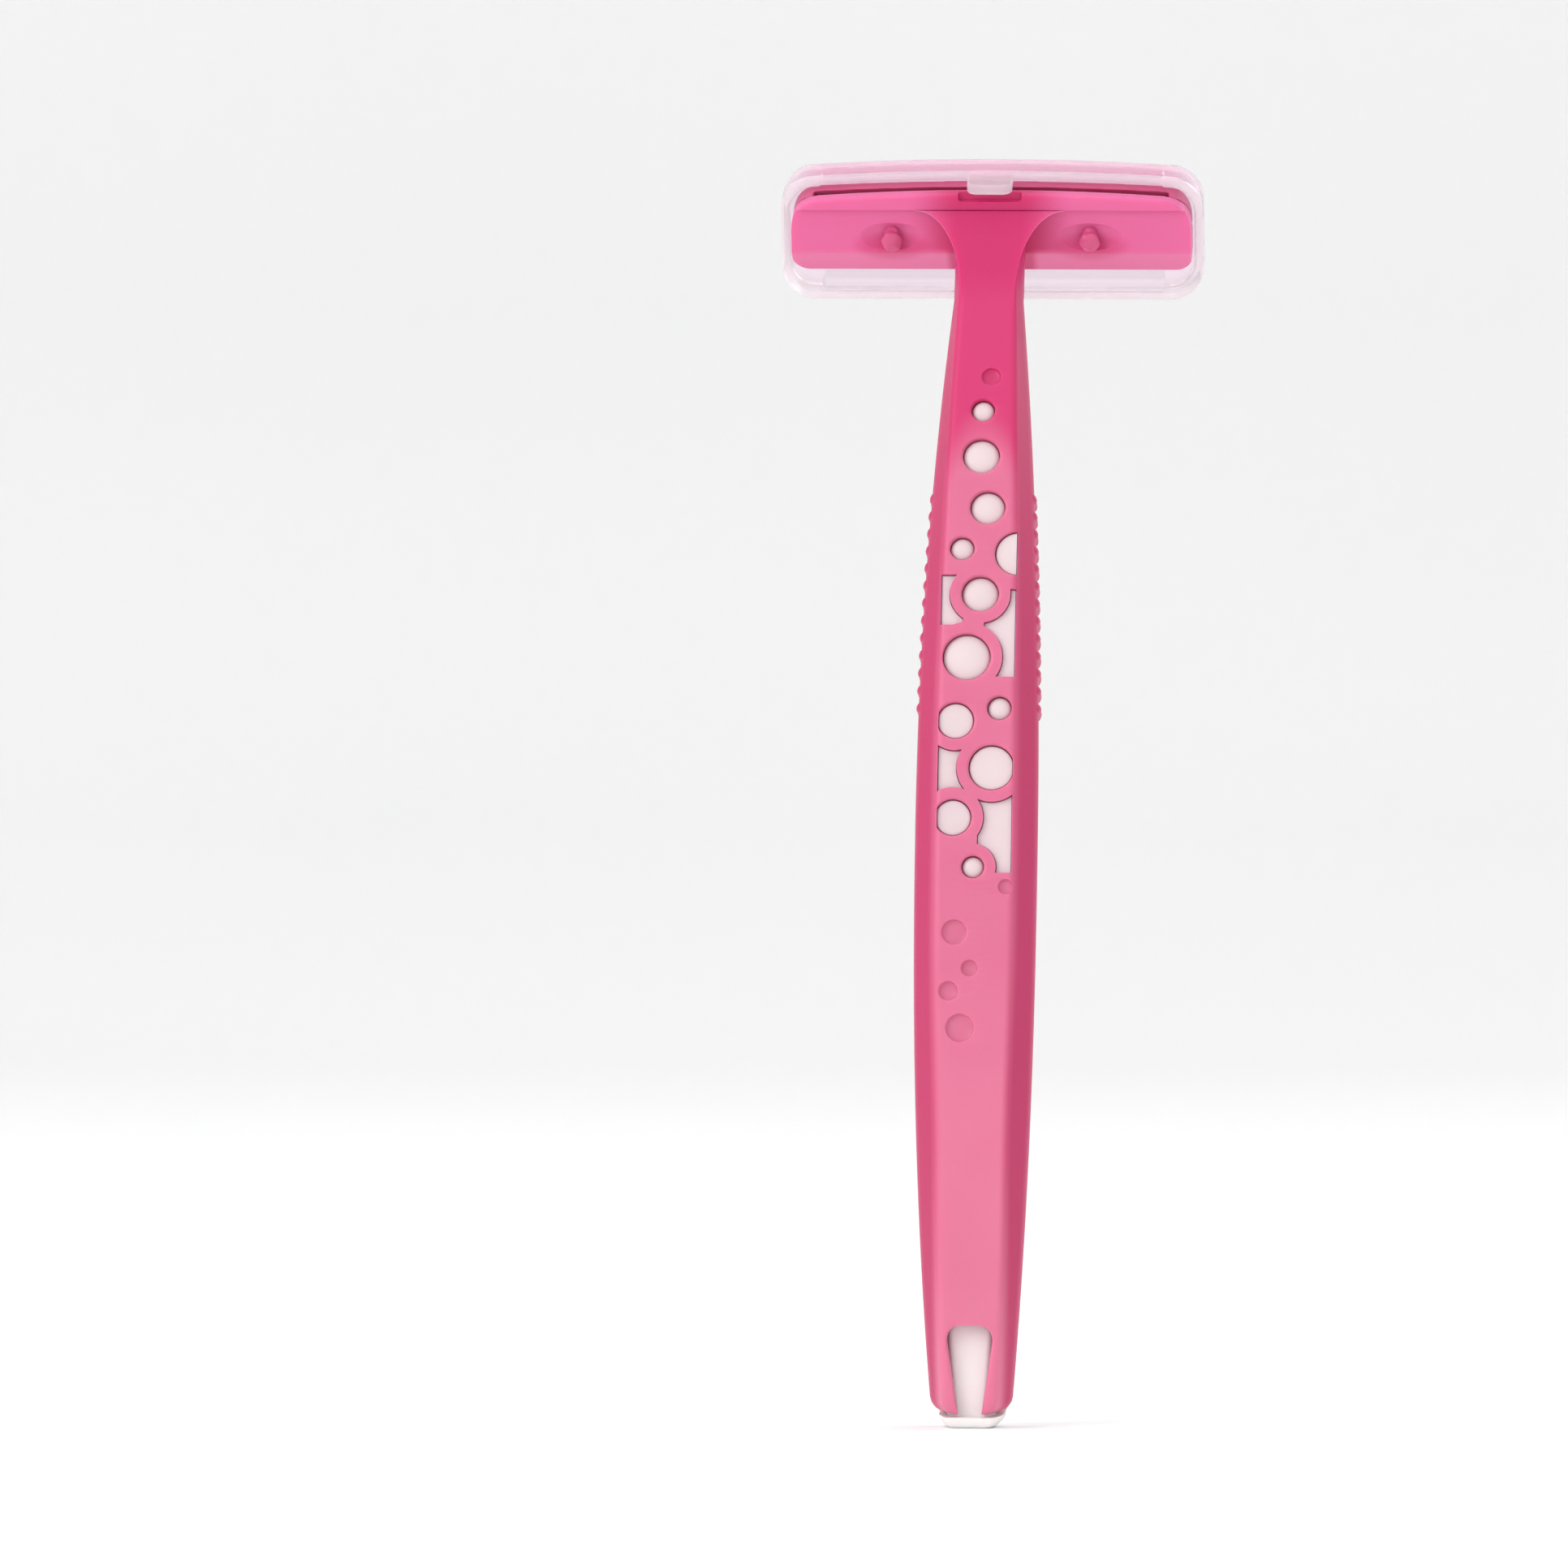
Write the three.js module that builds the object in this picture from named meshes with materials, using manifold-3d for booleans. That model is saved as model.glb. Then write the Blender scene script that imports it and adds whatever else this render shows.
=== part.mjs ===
// Disposable two-blade razor with a clear push-on cover, built as separate named pieces.
// Millimetres. +Z runs up the handle, -Y is the shaving side, X runs across the head.
// The origin is in the flat end of the tail. The handle is a bar on one long arc, and every
// place on it is given as a distance along that arc from the tail, a distance across it, and
// a depth in front of (negative) or behind (positive) its widest line.
// The head has its own frame: "out" is the distance in front of its back face, "up" the
// distance above its lower edge.
import * as THREE from 'three';
import { mergeVertices } from 'three/addons/utils/BufferGeometryUtils.js';
import Module from 'manifold-3d';

const wasm = await Module();
wasm.setup();
const { degToRad, lerp } = THREE.MathUtils;

// ---- Handle ----
const HANDLE_LENGTH = 127; // along the arc, from the tail to the back of the head
const BOW_RADIUS = 240;
const TAIL_LEAN = 4.6; // degrees that the tail leans back
const GRIP_STATION = 60; // from the tail to the widest place
const NECK_LENGTH = 9; // parallel part below the head
const TAIL = { width: 8.2, frontInset: 0.45, backInset: 1.6, frontDepth: 3.4, backDepth: 3.2 };
const GRIP = { width: 12.9, frontInset: 1.15, backInset: 2.55, frontDepth: 5.2, backDepth: 4.0 };
const NECK = { width: 7.4, frontInset: 0.3, backInset: 0.9, frontDepth: 2.5, backDepth: 2.5 };
const TAIL_SWELL = 2.3; // how late the width falls off towards the tail
const NECK_SWELL = 2.05; // and towards the neck
const SHELL_WALL = 1.2;
const SHELL_END = 1.6; // the shell stops this far above the tail's end
const FACET_LENGTH = 3.6; // along the handle

// ---- White core ----
const PANEL_TO_HEAD = 21.5; // from the panel's top edge to the back of the head
const PANEL_THICKNESS = 1.2;
const PANEL_ROUNDING = 0.9; // at the panel's top edge
const TAIL_ROUNDING = 2.4;
const TAIL_TRIM = 0.5; // depth of the rounded end that the flat face takes away
const CORE_GAP = 0.3; // between core and shell, all round
const SEAM_GAP = 0.25; // between the panel's back and the shell's front edges

// ---- Bubbles in the shell's back: [across, below the panel's top edge, radius] ----
const OPEN_BUBBLES = [
  [0.05, 1.1, 1.2],
  [0.1, 6.1, 1.9],
  [-0.7, 11.7, 1.8],
  [1.8, 16.1, 1.25],
  [-3.9, 16.6, 2.35],
  [-0.15, 20.9, 1.9],
  [1.1, 27.5, 2.45],
  [2.1, 34.1, 1.9],
  [-2.35, 32.8, 1.25],
  [-1.65, 38.9, 2.35],
  [2.2, 44.0, 1.9],
  [0.1, 49.0, 1.15],
];
const BLIND_BUBBLES = [
  [-0.7, -2.6, 0.95],
  [-3.3, 51.0, 0.75],
  [1.9, 55.6, 1.25],
  [0.3, 59.2, 0.8],
  [2.4, 61.5, 0.95],
  [1.2, 65.2, 1.4],
];
const BLIND_DEPTH = 0.45;
const BUBBLES_ABOVE_PANEL = 6; // the bubbled strip starts this far above the panel's top edge
const BUBBLES_BELOW_PANEL = 70; // and ends this far below it
const BUBBLE_RING = 1.2; // solid ring left round a bubble where a window meets it
const WINDOW_HALF_WIDTH = 3.83; // windows and bubbles are cut off square at this distance
// Windows between the bubbles: [from across, to across, from below the top edge, to below it].
const WINDOWS = [
  [1.5, WINDOW_HALF_WIDTH, 18.9, 24.2],
  [-WINDOW_HALF_WIDTH, -0.6, 20.4, 29.6],
  [0.4, WINDOW_HALF_WIDTH, 36.4, 41.6],
  [-WINDOW_HALF_WIDTH, -0.3, 41.0, 49.6],
];

// ---- Grip ribs, tail slot and thumb groove ----
const RIB_COUNT = 13;
const RIB_PITCH = 1.86;
const RIB_HEIGHT = 0.28;
const RIB_LENGTH = 0.9; // along the handle
const RIB_DROP = 9.6; // from the panel's top edge to the first rib
const RIB_FRONT_SHARE = 0.9; // how much of the section's front depth a rib covers
const RIB_BACK_SHARE = 0.6; // and of its back depth
const TAIL_SLOT_TOP = 10.6;
const TAIL_SLOT_WIDE = 5.1;
const TAIL_SLOT_NARROW = 2.4;
const TAIL_SLOT_CORNER = 1.2;
const GROOVE_WIDTH = 4;
const GROOVE_DEPTH = 1.3;
const GROOVE_TO_PANEL = 3.2; // solid left between the groove and the panel
const GROOVE_FROM_HEAD = 5.2; // where the groove runs out below the head

// ---- Head ----
const HEAD_TILT = 25; // degrees that the head's face looks up
const HEAD_WIDTH = 41.4;
const HEAD_HEIGHT = 9.8;
const HEAD_DEPTH = 5;
const HEAD_ARCH = 0.6; // the top edge is higher in the middle by this
const HEAD_SHOULDER = 3.7; // size of the rounded top corners
const HEAD_CORNER = 2.2; // radius of the bottom corners
const NECK_RISE = 8; // the neck's back meets the head at this height
const NECK_FLARE = 4.6; // how far the neck widens on each side to meet the head
const PLATE_BOTTOM = 3.15;
const PLATE_THICKNESS = 1.6;
const STRIP_RAISE = 0.5; // the strip along the top of the back stands this proud
const GUARD_HEIGHT = 1.9;
const GUARD_THICKNESS = 1.1;
const GUARD_NUB = { radius: 0.42, height: 1, setback: 0.7 };
const LIP_FOOT_OUT = 3.4; // the plate's back slopes out to here at the head's lower edge
const CHANNEL_OUT = 3.5; // bottom of the rinsing channel behind the guard bar
const CHANNEL_UP = 1.35;
const SEAT_FOOT = 0.4; // step from the plate to the blade seat
const HEAD_EASE = 0.3; // eased outer edges
const NUB_PLACES = [-10.9, -3.65, 3.65, 10.9];
const END_WIDTH = 2.3; // solid ends beside the blades
const END_ABOVE_EDGE = 0.85; // their height over the lower blade's edge
const CATCH_POCKET = { width: 6.6, height: 0.8, depth: 0.9 };

// ---- Blades ----
const BLADE_ANGLE = 30; // between the blades and the head's back
const EDGE_OUT = 4.72; // where the lower blade's edge lies
const EDGE_UP = 3.8;
const BLADE_THICKNESS = 0.15;
const BLADE_WIDTH = 5; // from edge to back
const BLADE_END_GAP = 0.4; // between a blade and the head's solid end
const EDGE_BEVEL = 0.5;
const EDGE_STEP = 1; // the upper blade's edge lies this far behind the lower one's
const SPACER_THICKNESS = 0.35;
const SPACER_SETBACK = 1.6; // from the lower blade's edge to the spacer's front
const STACK_GAP = 0.1;
const SEAT_FROM_EDGE = 1.3; // from the lower blade's edge to the front of its seat
const SEAT_GAP = 0.3; // between the lower blade and its seat, for the guard strip
const SEAT_PAST_BLADE = 1.1; // the seat runs on behind the blade by this
const CAP_GAP = 0.25; // between the cap and the seat's back wall
const CAP_REST_GAP = 0.3; // between the cap's lugs and the solid ends
const CAP_BEHIND_EDGE = 0.1; // the cap's front lies this far behind the upper blade's edge
const CAP_PAST_BLADE = 1.6;
const CAP_BROW = { in: 0.35, down: 1.3 }; // where the cap's rounded top starts
const CAP_CREST_IN = 1.1; // and where it ends, at the head's top
const LUG_IN = 0.05;
const LUG_FROM_EDGE = 1.6; // from the lower blade's edge, along the blade
const POST_IN_CAP = 0.6; // how deep a post runs up into the cap
const COMB_THICKNESS = 0.12;
const COMB_REACH = 1.15; // how far the guard strip laps over the blade
const COMB_PITCH = 1.57;
const COMB_SLOT = 1.05;
const COMB_SLOT_DEPTH = 0.75;

// ---- Cap posts ----
const POST_RADIUS = 0.8;
const POST_SPACING = 20.5;
const POST_CLEARANCE = 0.15;
const STAKE_RADIUS = 1.1; // the post ends are flattened to this over the back plate
const STAKE_HEIGHT = 0.9;
const STAKE_GAP = 0.15;
const POST_UP_BLADE = 3.1; // from the lower blade's edge, along the blade

// ---- Cover ----
const COVER_WALL = 0.95;
const COVER_CLEARANCE = 0.25; // to the head's sides
const COVER_TOP_CLEARANCE = 0.45;
const COVER_BELOW = 3.15; // how far the cover hangs below the head
const COVER_RIM_OUT = 2.8; // its open edge lies this far in front of the head's back face
const COVER_FRONT_OUT = 7.5;
const COVER_CORNER = 3.6;
const COVER_LIP_FROM = 17.7; // the walls are thicker beyond this distance from the middle
const COVER_LIP_BELOW = 0.8;
const COVER_LIP_ABOVE = 0.25;
const COVER_INNER_CORNER = 1; // least radius of the cover's inside corners
const TONGUE_WIDTH = 4.7;
const TONGUE_BACK = 0.75; // how far the snap tongue reaches behind the head's back face
const TONGUE_BUMP = 0.12;
const TONGUE_BUMP_FROM = 0.25; // the bump starts this far behind the head's back face

const NECK_STATION = HANDLE_LENGTH - NECK_LENGTH;
const PANEL_TOP = HANDLE_LENGTH - PANEL_TO_HEAD;
const HALF_HEAD = HEAD_WIDTH / 2;
const PEG_SIDES = 16;
const POST_SIDES = 24;
const ABOVE_HEAD = 6; // the handle's bar runs this far into the head before it is trimmed
const FAR = 30; // past anything near the head
const BLADE_LENGTH = HEAD_WIDTH - 2 * (END_WIDTH + BLADE_END_GAP);
const OVERSHOOT = 1; // how far a cutting shape passes the surface that it cuts

// ---- Solids ----
function solid(geometry, ...matrices) {
  const bare = geometry.index ? geometry.toNonIndexed() : geometry.clone();
  bare.deleteAttribute('normal');
  bare.deleteAttribute('uv');
  for (const matrix of matrices) bare.applyMatrix4(matrix);
  const merged = mergeVertices(bare, 1e-4);
  return new wasm.Manifold(
    new wasm.Mesh({
      numProp: 3,
      vertProperties: new Float32Array(merged.attributes.position.array),
      triVerts: new Uint32Array(merged.index.array),
    }),
  );
}

function meshOf(name, body, material) {
  const made = body.getMesh();
  const geometry = new THREE.BufferGeometry();
  geometry.setAttribute('position', new THREE.BufferAttribute(made.vertProperties, 3));
  geometry.setIndex(new THREE.BufferAttribute(made.triVerts, 1));
  geometry.computeVertexNormals();
  const mesh = new THREE.Mesh(geometry, material);
  mesh.name = name;
  return mesh;
}

function joined(bodies) {
  return bodies.reduce((all, body) => all.add(body));
}

// ---- The bowed handle ----
function bowPoint(station, across, depth) {
  const start = degToRad(-TAIL_LEAN);
  const lean = start + station / BOW_RADIUS;
  return new THREE.Vector3(
    across,
    BOW_RADIUS * (Math.cos(lean) - Math.cos(start)) + depth * Math.cos(lean),
    BOW_RADIUS * (Math.sin(lean) - Math.sin(start)) + depth * Math.sin(lean),
  );
}

function swellAt(station) {
  if (station <= GRIP_STATION) {
    return 1 - ((GRIP_STATION - station) / GRIP_STATION) ** TAIL_SWELL;
  }
  const share = (station - GRIP_STATION) / (NECK_STATION - GRIP_STATION);
  return 1 - Math.min(1, share) ** NECK_SWELL;
}

// Half widths at the front, at the widest line and at the back, and the two depths.
function handleSection(station) {
  const end = station <= GRIP_STATION ? TAIL : NECK;
  const swell = swellAt(station);
  const size = (key) => lerp(end[key], GRIP[key], swell);
  const ridge = size('width') / 2;
  return {
    front: ridge - size('frontInset'),
    ridge,
    back: ridge - size('backInset'),
    frontDepth: size('frontDepth'),
    backDepth: size('backDepth'),
    centre: 0,
  };
}

// The same section with its sides and back moved in by a wall.
function insetSection(section, wall) {
  const frontSlope = (section.ridge - section.front) / section.frontDepth;
  const backSlope = (section.ridge - section.back) / section.backDepth;
  return {
    ...section,
    front: section.front - wall * Math.hypot(1, frontSlope),
    ridge: section.ridge - wall * Math.hypot(1, backSlope),
    back: section.back + wall * (backSlope - Math.hypot(1, backSlope)),
    backDepth: section.backDepth - wall,
  };
}

// Unit outline of a section from the points of its right side: (across, depth), -1 to 1.
function unitOutline(side) {
  const mirrored = side.map(([across, depth]) => [-across, depth]).reverse();
  return new THREE.Shape([...side, ...mirrored].map(([x, y]) => new THREE.Vector2(x, y)));
}

// A bar along the handle: one section at each station, each sized by sectionAt(station).
function bowedBar(outline, stations, sectionAt) {
  const steps = stations.length - 1;
  const bar = new THREE.ExtrudeGeometry(outline, { depth: steps, steps, bevelEnabled: false });
  const place = bar.attributes.position;
  for (let i = 0; i < place.count; i += 1) {
    const depth = place.getY(i);
    const station = stations[Math.round(place.getZ(i))];
    const section = sectionAt(station);
    const outer = depth < 0 ? section.front : section.back;
    const half = lerp(section.ridge, outer, Math.abs(depth));
    const reach = depth < 0 ? section.frontDepth : section.backDepth;
    const point = bowPoint(station, place.getX(i) * half, section.centre + depth * reach);
    place.setXYZ(i, point.x, point.y, point.z);
  }
  return solid(bar);
}

function stationsBetween(from, to, step) {
  const count = Math.max(1, Math.round((to - from) / step));
  return Array.from({ length: count + 1 }, (_, i) => lerp(from, to, i / count));
}

// How far a rounded end draws in, at a distance from that end.
function endDraw(distance, radius) {
  const inside = Math.max(0, 1 - distance / radius);
  return radius * (1 - Math.sqrt(Math.max(0, 1 - inside * inside)));
}

const EASED_OUTLINE = unitOutline([
  [0.95, -1],
  [1, -0.93],
  [1, -0.1],
  [1, 0.1],
  [1, 0.65],
  [0.95, 0.84],
  [0.84, 0.95],
  [0.66, 1],
]);
const PLAIN_OUTLINE = unitOutline([
  [1, -1],
  [1, -0.1],
  [1, 0.1],
  [1, 0.85],
  [0.9, 1],
]);
const RIB_OUTLINE = unitOutline([
  [1, -1],
  [1, 0],
  [1, 1],
]);
const SQUARE = unitOutline([
  [1, -1],
  [1, 1],
]);

// A straight-sided cutting bar of one half width, between two depths.
function cuttingBar(stations, halfAt, fromDepth, toDepth) {
  return bowedBar(SQUARE, stations, (station) => {
    const half = halfAt(station);
    const from = fromDepth(station);
    const to = toDepth(station);
    const reach = (to - from) / 2;
    const centre = (to + from) / 2;
    return { front: half, ridge: half, back: half, frontDepth: reach, backDepth: reach, centre };
  });
}

// A round peg square to the handle's surface.
function peg(station, across, radius, fromDepth, toDepth) {
  const geometry = new THREE.CylinderGeometry(radius, radius, toDepth - fromDepth, PEG_SIDES);
  const lean = degToRad(-TAIL_LEAN) + station / BOW_RADIUS;
  const turn = new THREE.Matrix4().makeRotationX(lean);
  const middle = bowPoint(station, across, (fromDepth + toDepth) / 2);
  return solid(geometry, turn, new THREE.Matrix4().makeTranslation(middle));
}

// ---- Head frame ----
const neckBack = bowPoint(HANDLE_LENGTH, 0, NECK.backDepth);
const tilt = degToRad(HEAD_TILT);
const headOrigin = new THREE.Vector3(
  0,
  neckBack.y - NECK_RISE * Math.sin(tilt),
  neckBack.z - NECK_RISE * Math.cos(tilt),
);
const headMatrix = new THREE.Matrix4().makeRotationX(-tilt).setPosition(headOrigin);

// An outline given as (out, up), extruded across the head.
function acrossHead(points, halfLength) {
  const shape = new THREE.Shape(points.map(([out, up]) => new THREE.Vector2(out, up)));
  const depth = 2 * halfLength;
  const geometry = new THREE.ExtrudeGeometry(shape, { depth, bevelEnabled: false });
  geometry.translate(0, 0, -halfLength);
  const turn = new THREE.Matrix4().set(0, 0, -1, 0, -1, 0, 0, 0, 0, 1, 0, 0, 0, 0, 0, 1);
  return solid(geometry, turn);
}

// An outline given as (across, up), extruded from one out distance to another.
function outOfHead(shape, fromOut, toOut) {
  const depth = toOut - fromOut;
  const settings = { depth, bevelEnabled: false, curveSegments: 8 };
  const geometry = new THREE.ExtrudeGeometry(shape, settings);
  geometry.translate(0, 0, fromOut);
  return solid(geometry, new THREE.Matrix4().makeRotationX(Math.PI / 2));
}

function headBox(fromAcross, toAcross, fromOut, toOut, fromUp, toUp) {
  const size = [toAcross - fromAcross, toOut - fromOut, toUp - fromUp];
  const geometry = new THREE.BoxGeometry(...size);
  geometry.translate((fromAcross + toAcross) / 2, -(fromOut + toOut) / 2, (fromUp + toUp) / 2);
  return solid(geometry);
}

function toHeadPlace(body) {
  const made = body.getMesh();
  const geometry = new THREE.BufferGeometry();
  geometry.setAttribute('position', new THREE.BufferAttribute(made.vertProperties, 3));
  geometry.setIndex(new THREE.BufferAttribute(made.triVerts, 1));
  return solid(geometry, headMatrix);
}

// Blade frame inside the head frame: its origin is the lower blade's edge.
const slant = degToRad(BLADE_ANGLE);
const bladeMatrix = new THREE.Matrix4().makeRotationX(-slant).setPosition(0, -EDGE_OUT, EDGE_UP);
const UPPER_START = BLADE_THICKNESS + STACK_GAP + SPACER_THICKNESS + STACK_GAP;
const STACK_HEIGHT = UPPER_START + BLADE_THICKNESS;

// A point above the lower blade: "along" back from its edge, "over" towards the cap.
function overBlade(along, over) {
  return [
    EDGE_OUT - along * Math.sin(slant) + over * Math.cos(slant),
    EDGE_UP + along * Math.cos(slant) + over * Math.sin(slant),
  ];
}

function posts(radius, fromOver, toOver) {
  const length = toOver - fromOver;
  return joined([-1, 1].map((sign) => {
    const geometry = new THREE.CylinderGeometry(radius, radius, length, POST_SIDES);
    const across = (sign * POST_SPACING) / 2;
    geometry.translate(across, -(fromOver + toOver) / 2, POST_UP_BLADE);
    return solid(geometry, bladeMatrix);
  }));
}

// The head's outline from behind, as a block that the head's pieces are trimmed to.
function headBlock() {
  const half = HALF_HEAD;
  const corner = HEAD_CORNER;
  const endTop = HEAD_HEIGHT - HEAD_ARCH;
  const shoulder = half - HEAD_SHOULDER;
  const shape = new THREE.Shape();
  shape.moveTo(-half + corner, 0);
  shape.lineTo(half - corner, 0);
  shape.absarc(half - corner, corner, corner, -Math.PI / 2, 0, false);
  shape.lineTo(half, endTop - HEAD_SHOULDER);
  shape.quadraticCurveTo(half, endTop, shoulder, endTop);
  shape.quadraticCurveTo(0, endTop + 2 * HEAD_ARCH, -shoulder, endTop);
  shape.quadraticCurveTo(-half, endTop, -half, endTop - HEAD_SHOULDER);
  shape.lineTo(-half, corner);
  shape.absarc(-half + corner, corner, corner, Math.PI, 1.5 * Math.PI, false);
  return outOfHead(shape, -OVERSHOOT, HEAD_DEPTH + OVERSHOOT);
}

// ---- Pieces of the handle ----
const pinkShell = new THREE.MeshStandardMaterial({ color: 0xd8487f, roughness: 0.42, metalness: 0 });
const whiteCore = new THREE.MeshStandardMaterial({ color: 0xf3ecec, roughness: 0.4, metalness: 0 });
const pinkCap = new THREE.MeshStandardMaterial({ color: 0xd0608c, roughness: 0.45, metalness: 0 });
const bladeSteel = new THREE.MeshStandardMaterial({ color: 0xb9bcc0, roughness: 0.25, metalness: 1 });
const spacerGrey = new THREE.MeshStandardMaterial({ color: 0x3c3436, roughness: 0.6, metalness: 0 });
const combSteel = new THREE.MeshStandardMaterial({ color: 0xe6e4e2, roughness: 0.2, metalness: 1 });
const coverClear = new THREE.MeshStandardMaterial({ color: 0xf1e8f0, roughness: 0.15, metalness: 0 });

function ribs() {
  return Array.from({ length: RIB_COUNT }, (_, i) => {
    const middle = PANEL_TOP - RIB_DROP - i * RIB_PITCH;
    const half = RIB_LENGTH / 2;
    return bowedBar(RIB_OUTLINE, [middle - half, middle, middle + half], (station) => {
      const section = handleSection(station);
      const rise = station === middle ? RIB_HEIGHT : 0;
      return {
        front: section.front + rise,
        ridge: section.ridge + rise,
        back: lerp(section.ridge, section.back, RIB_BACK_SHARE) + rise,
        frontDepth: section.frontDepth * RIB_FRONT_SHARE,
        backDepth: section.backDepth * RIB_BACK_SHARE,
        centre: 0,
      };
    });
  });
}

function bubblePegs(bubbles, extra, fromDepth, toDepth) {
  return joined(bubbles.map(([across, below, radius]) => {
    const station = PANEL_TOP - below;
    return peg(station, across, radius + extra, fromDepth(station), toDepth(station));
  }));
}

function bubbleCuts() {
  const inside = (station) => handleSection(station).backDepth - SHELL_WALL - OVERSHOOT;
  const outside = (station) => handleSection(station).backDepth + OVERSHOOT;
  const open = bubblePegs(OPEN_BUBBLES, 0, inside, outside);
  const rings = bubblePegs(
    OPEN_BUBBLES,
    BUBBLE_RING,
    (station) => inside(station) - OVERSHOOT,
    (station) => outside(station) + OVERSHOOT,
  );
  const windows = joined(WINDOWS.map(([from, to, top, bottom]) => {
    const stations = stationsBetween(PANEL_TOP - bottom, PANEL_TOP - top, FACET_LENGTH);
    const bar = cuttingBar(stations, () => (to - from) / 2, inside, outside);
    return bar.translate([(from + to) / 2, 0, 0]);
  }));
  const strip = cuttingBar(
    stationsBetween(PANEL_TOP - BUBBLES_BELOW_PANEL, PANEL_TOP + BUBBLES_ABOVE_PANEL, FACET_LENGTH),
    () => WINDOW_HALF_WIDTH,
    (station) => inside(station) - 2 * OVERSHOOT,
    (station) => outside(station) + 2 * OVERSHOOT,
  );
  const blind = bubblePegs(
    BLIND_BUBBLES,
    0,
    (station) => handleSection(station).backDepth - BLIND_DEPTH,
    outside,
  );
  return joined([open.intersect(strip), windows.subtract(rings), blind]);
}

function tailSlot() {
  const stations = [-2, SHELL_END, TAIL_SLOT_TOP - TAIL_SLOT_CORNER];
  const arc = [0.35, 0.65, 0.87, 1].map((share) => {
    return TAIL_SLOT_TOP - TAIL_SLOT_CORNER * (1 - share);
  });
  const halfAt = (station) => {
    const share = (station - SHELL_END) / (TAIL_SLOT_TOP - SHELL_END);
    const straight = lerp(TAIL_SLOT_NARROW, TAIL_SLOT_WIDE, share) / 2;
    return straight - endDraw(TAIL_SLOT_TOP - station, TAIL_SLOT_CORNER);
  };
  return cuttingBar(
    [...stations, ...arc],
    halfAt,
    (station) => handleSection(station).backDepth - SHELL_WALL - OVERSHOOT,
    (station) => handleSection(station).backDepth + OVERSHOOT,
  );
}

function thumbGroove() {
  const round = PANEL_TOP + GROOVE_TO_PANEL + GROOVE_WIDTH / 2;
  const end = HANDLE_LENGTH - GROOVE_FROM_HEAD;
  const from = (station) => -handleSection(station).frontDepth - OVERSHOOT;
  const to = (station) => -handleSection(station).frontDepth + GROOVE_DEPTH;
  const bar = cuttingBar(stationsBetween(round, end, FACET_LENGTH), () => GROOVE_WIDTH / 2, from, to);
  return bar.add(peg(round, 0, GROOVE_WIDTH / 2, from(round), to(round)));
}

// The outline of the neck where it widens to meet the head: (across, up).
function neckFlareOutline() {
  const flat = NECK.width / 2 - NECK.backInset;
  const wide = NECK.width / 2 + NECK_FLARE;
  const low = -NECK_RISE / 3;
  const shape = new THREE.Shape();
  shape.moveTo(-flat, low);
  shape.lineTo(flat, low);
  shape.quadraticCurveTo(flat + NECK.backInset, NECK_RISE * 0.8, wide, NECK_RISE);
  shape.lineTo(-wide, NECK_RISE);
  shape.quadraticCurveTo(-flat - NECK.backInset, NECK_RISE * 0.8, -flat, low);
  return shape;
}

function headBase() {
  const seatFront = overBlade(SEAT_FROM_EDGE, -SEAT_GAP);
  const seatBack = overBlade(BLADE_WIDTH + SEAT_PAST_BLADE, -SEAT_GAP);
  const section = [
    [0, HEAD_HEIGHT],
    [0, NECK_RISE],
    [STRIP_RAISE, NECK_RISE],
    [STRIP_RAISE, PLATE_BOTTOM],
    [LIP_FOOT_OUT, 0],
    [HEAD_DEPTH - HEAD_EASE, 0],
    [HEAD_DEPTH, HEAD_EASE],
    [HEAD_DEPTH, GUARD_HEIGHT - HEAD_EASE],
    [HEAD_DEPTH - HEAD_EASE, GUARD_HEIGHT],
    [HEAD_DEPTH - GUARD_THICKNESS, GUARD_HEIGHT],
    [CHANNEL_OUT, CHANNEL_UP],
    [PLATE_THICKNESS, PLATE_BOTTOM],
    [PLATE_THICKNESS + SEAT_FOOT, PLATE_BOTTOM + SEAT_FOOT],
    [seatFront[0] - SEAT_FOOT, seatFront[1] - SEAT_FOOT],
    seatFront,
    seatBack,
    [seatBack[0], HEAD_HEIGHT],
  ];
  const body = acrossHead(section, HALF_HEAD + OVERSHOOT);
  const endTop = EDGE_UP + END_ABOVE_EDGE;
  const endSection = [
    [STRIP_RAISE, PLATE_BOTTOM],
    [LIP_FOOT_OUT, 0],
    [HEAD_DEPTH - HEAD_EASE, 0],
    [HEAD_DEPTH, HEAD_EASE],
    [HEAD_DEPTH, endTop - HEAD_EASE],
    [HEAD_DEPTH - HEAD_EASE, endTop],
    [STRIP_RAISE, endTop],
  ];
  const inner = HALF_HEAD - END_WIDTH;
  const ends = acrossHead(endSection, HALF_HEAD + OVERSHOOT).subtract(
    headBox(-inner, inner, -OVERSHOOT, HEAD_DEPTH + OVERSHOOT, -OVERSHOOT, HEAD_HEIGHT),
  );
  const nubs = joined(NUB_PLACES.map((across) => {
    const { radius, height, setback } = GUARD_NUB;
    const geometry = new THREE.CylinderGeometry(radius, radius, height, PEG_SIDES);
    geometry.translate(across, -HEAD_DEPTH + setback, GUARD_HEIGHT);
    return solid(geometry);
  }));
  const pocket = headBox(
    -CATCH_POCKET.width / 2,
    CATCH_POCKET.width / 2,
    -OVERSHOOT,
    CATCH_POCKET.depth,
    HEAD_HEIGHT - CATCH_POCKET.height,
    HEAD_HEIGHT + 2 * OVERSHOOT,
  );
  return joined([body, ends, nubs])
    .intersect(headBlock())
    .subtract(pocket);
}

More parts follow.
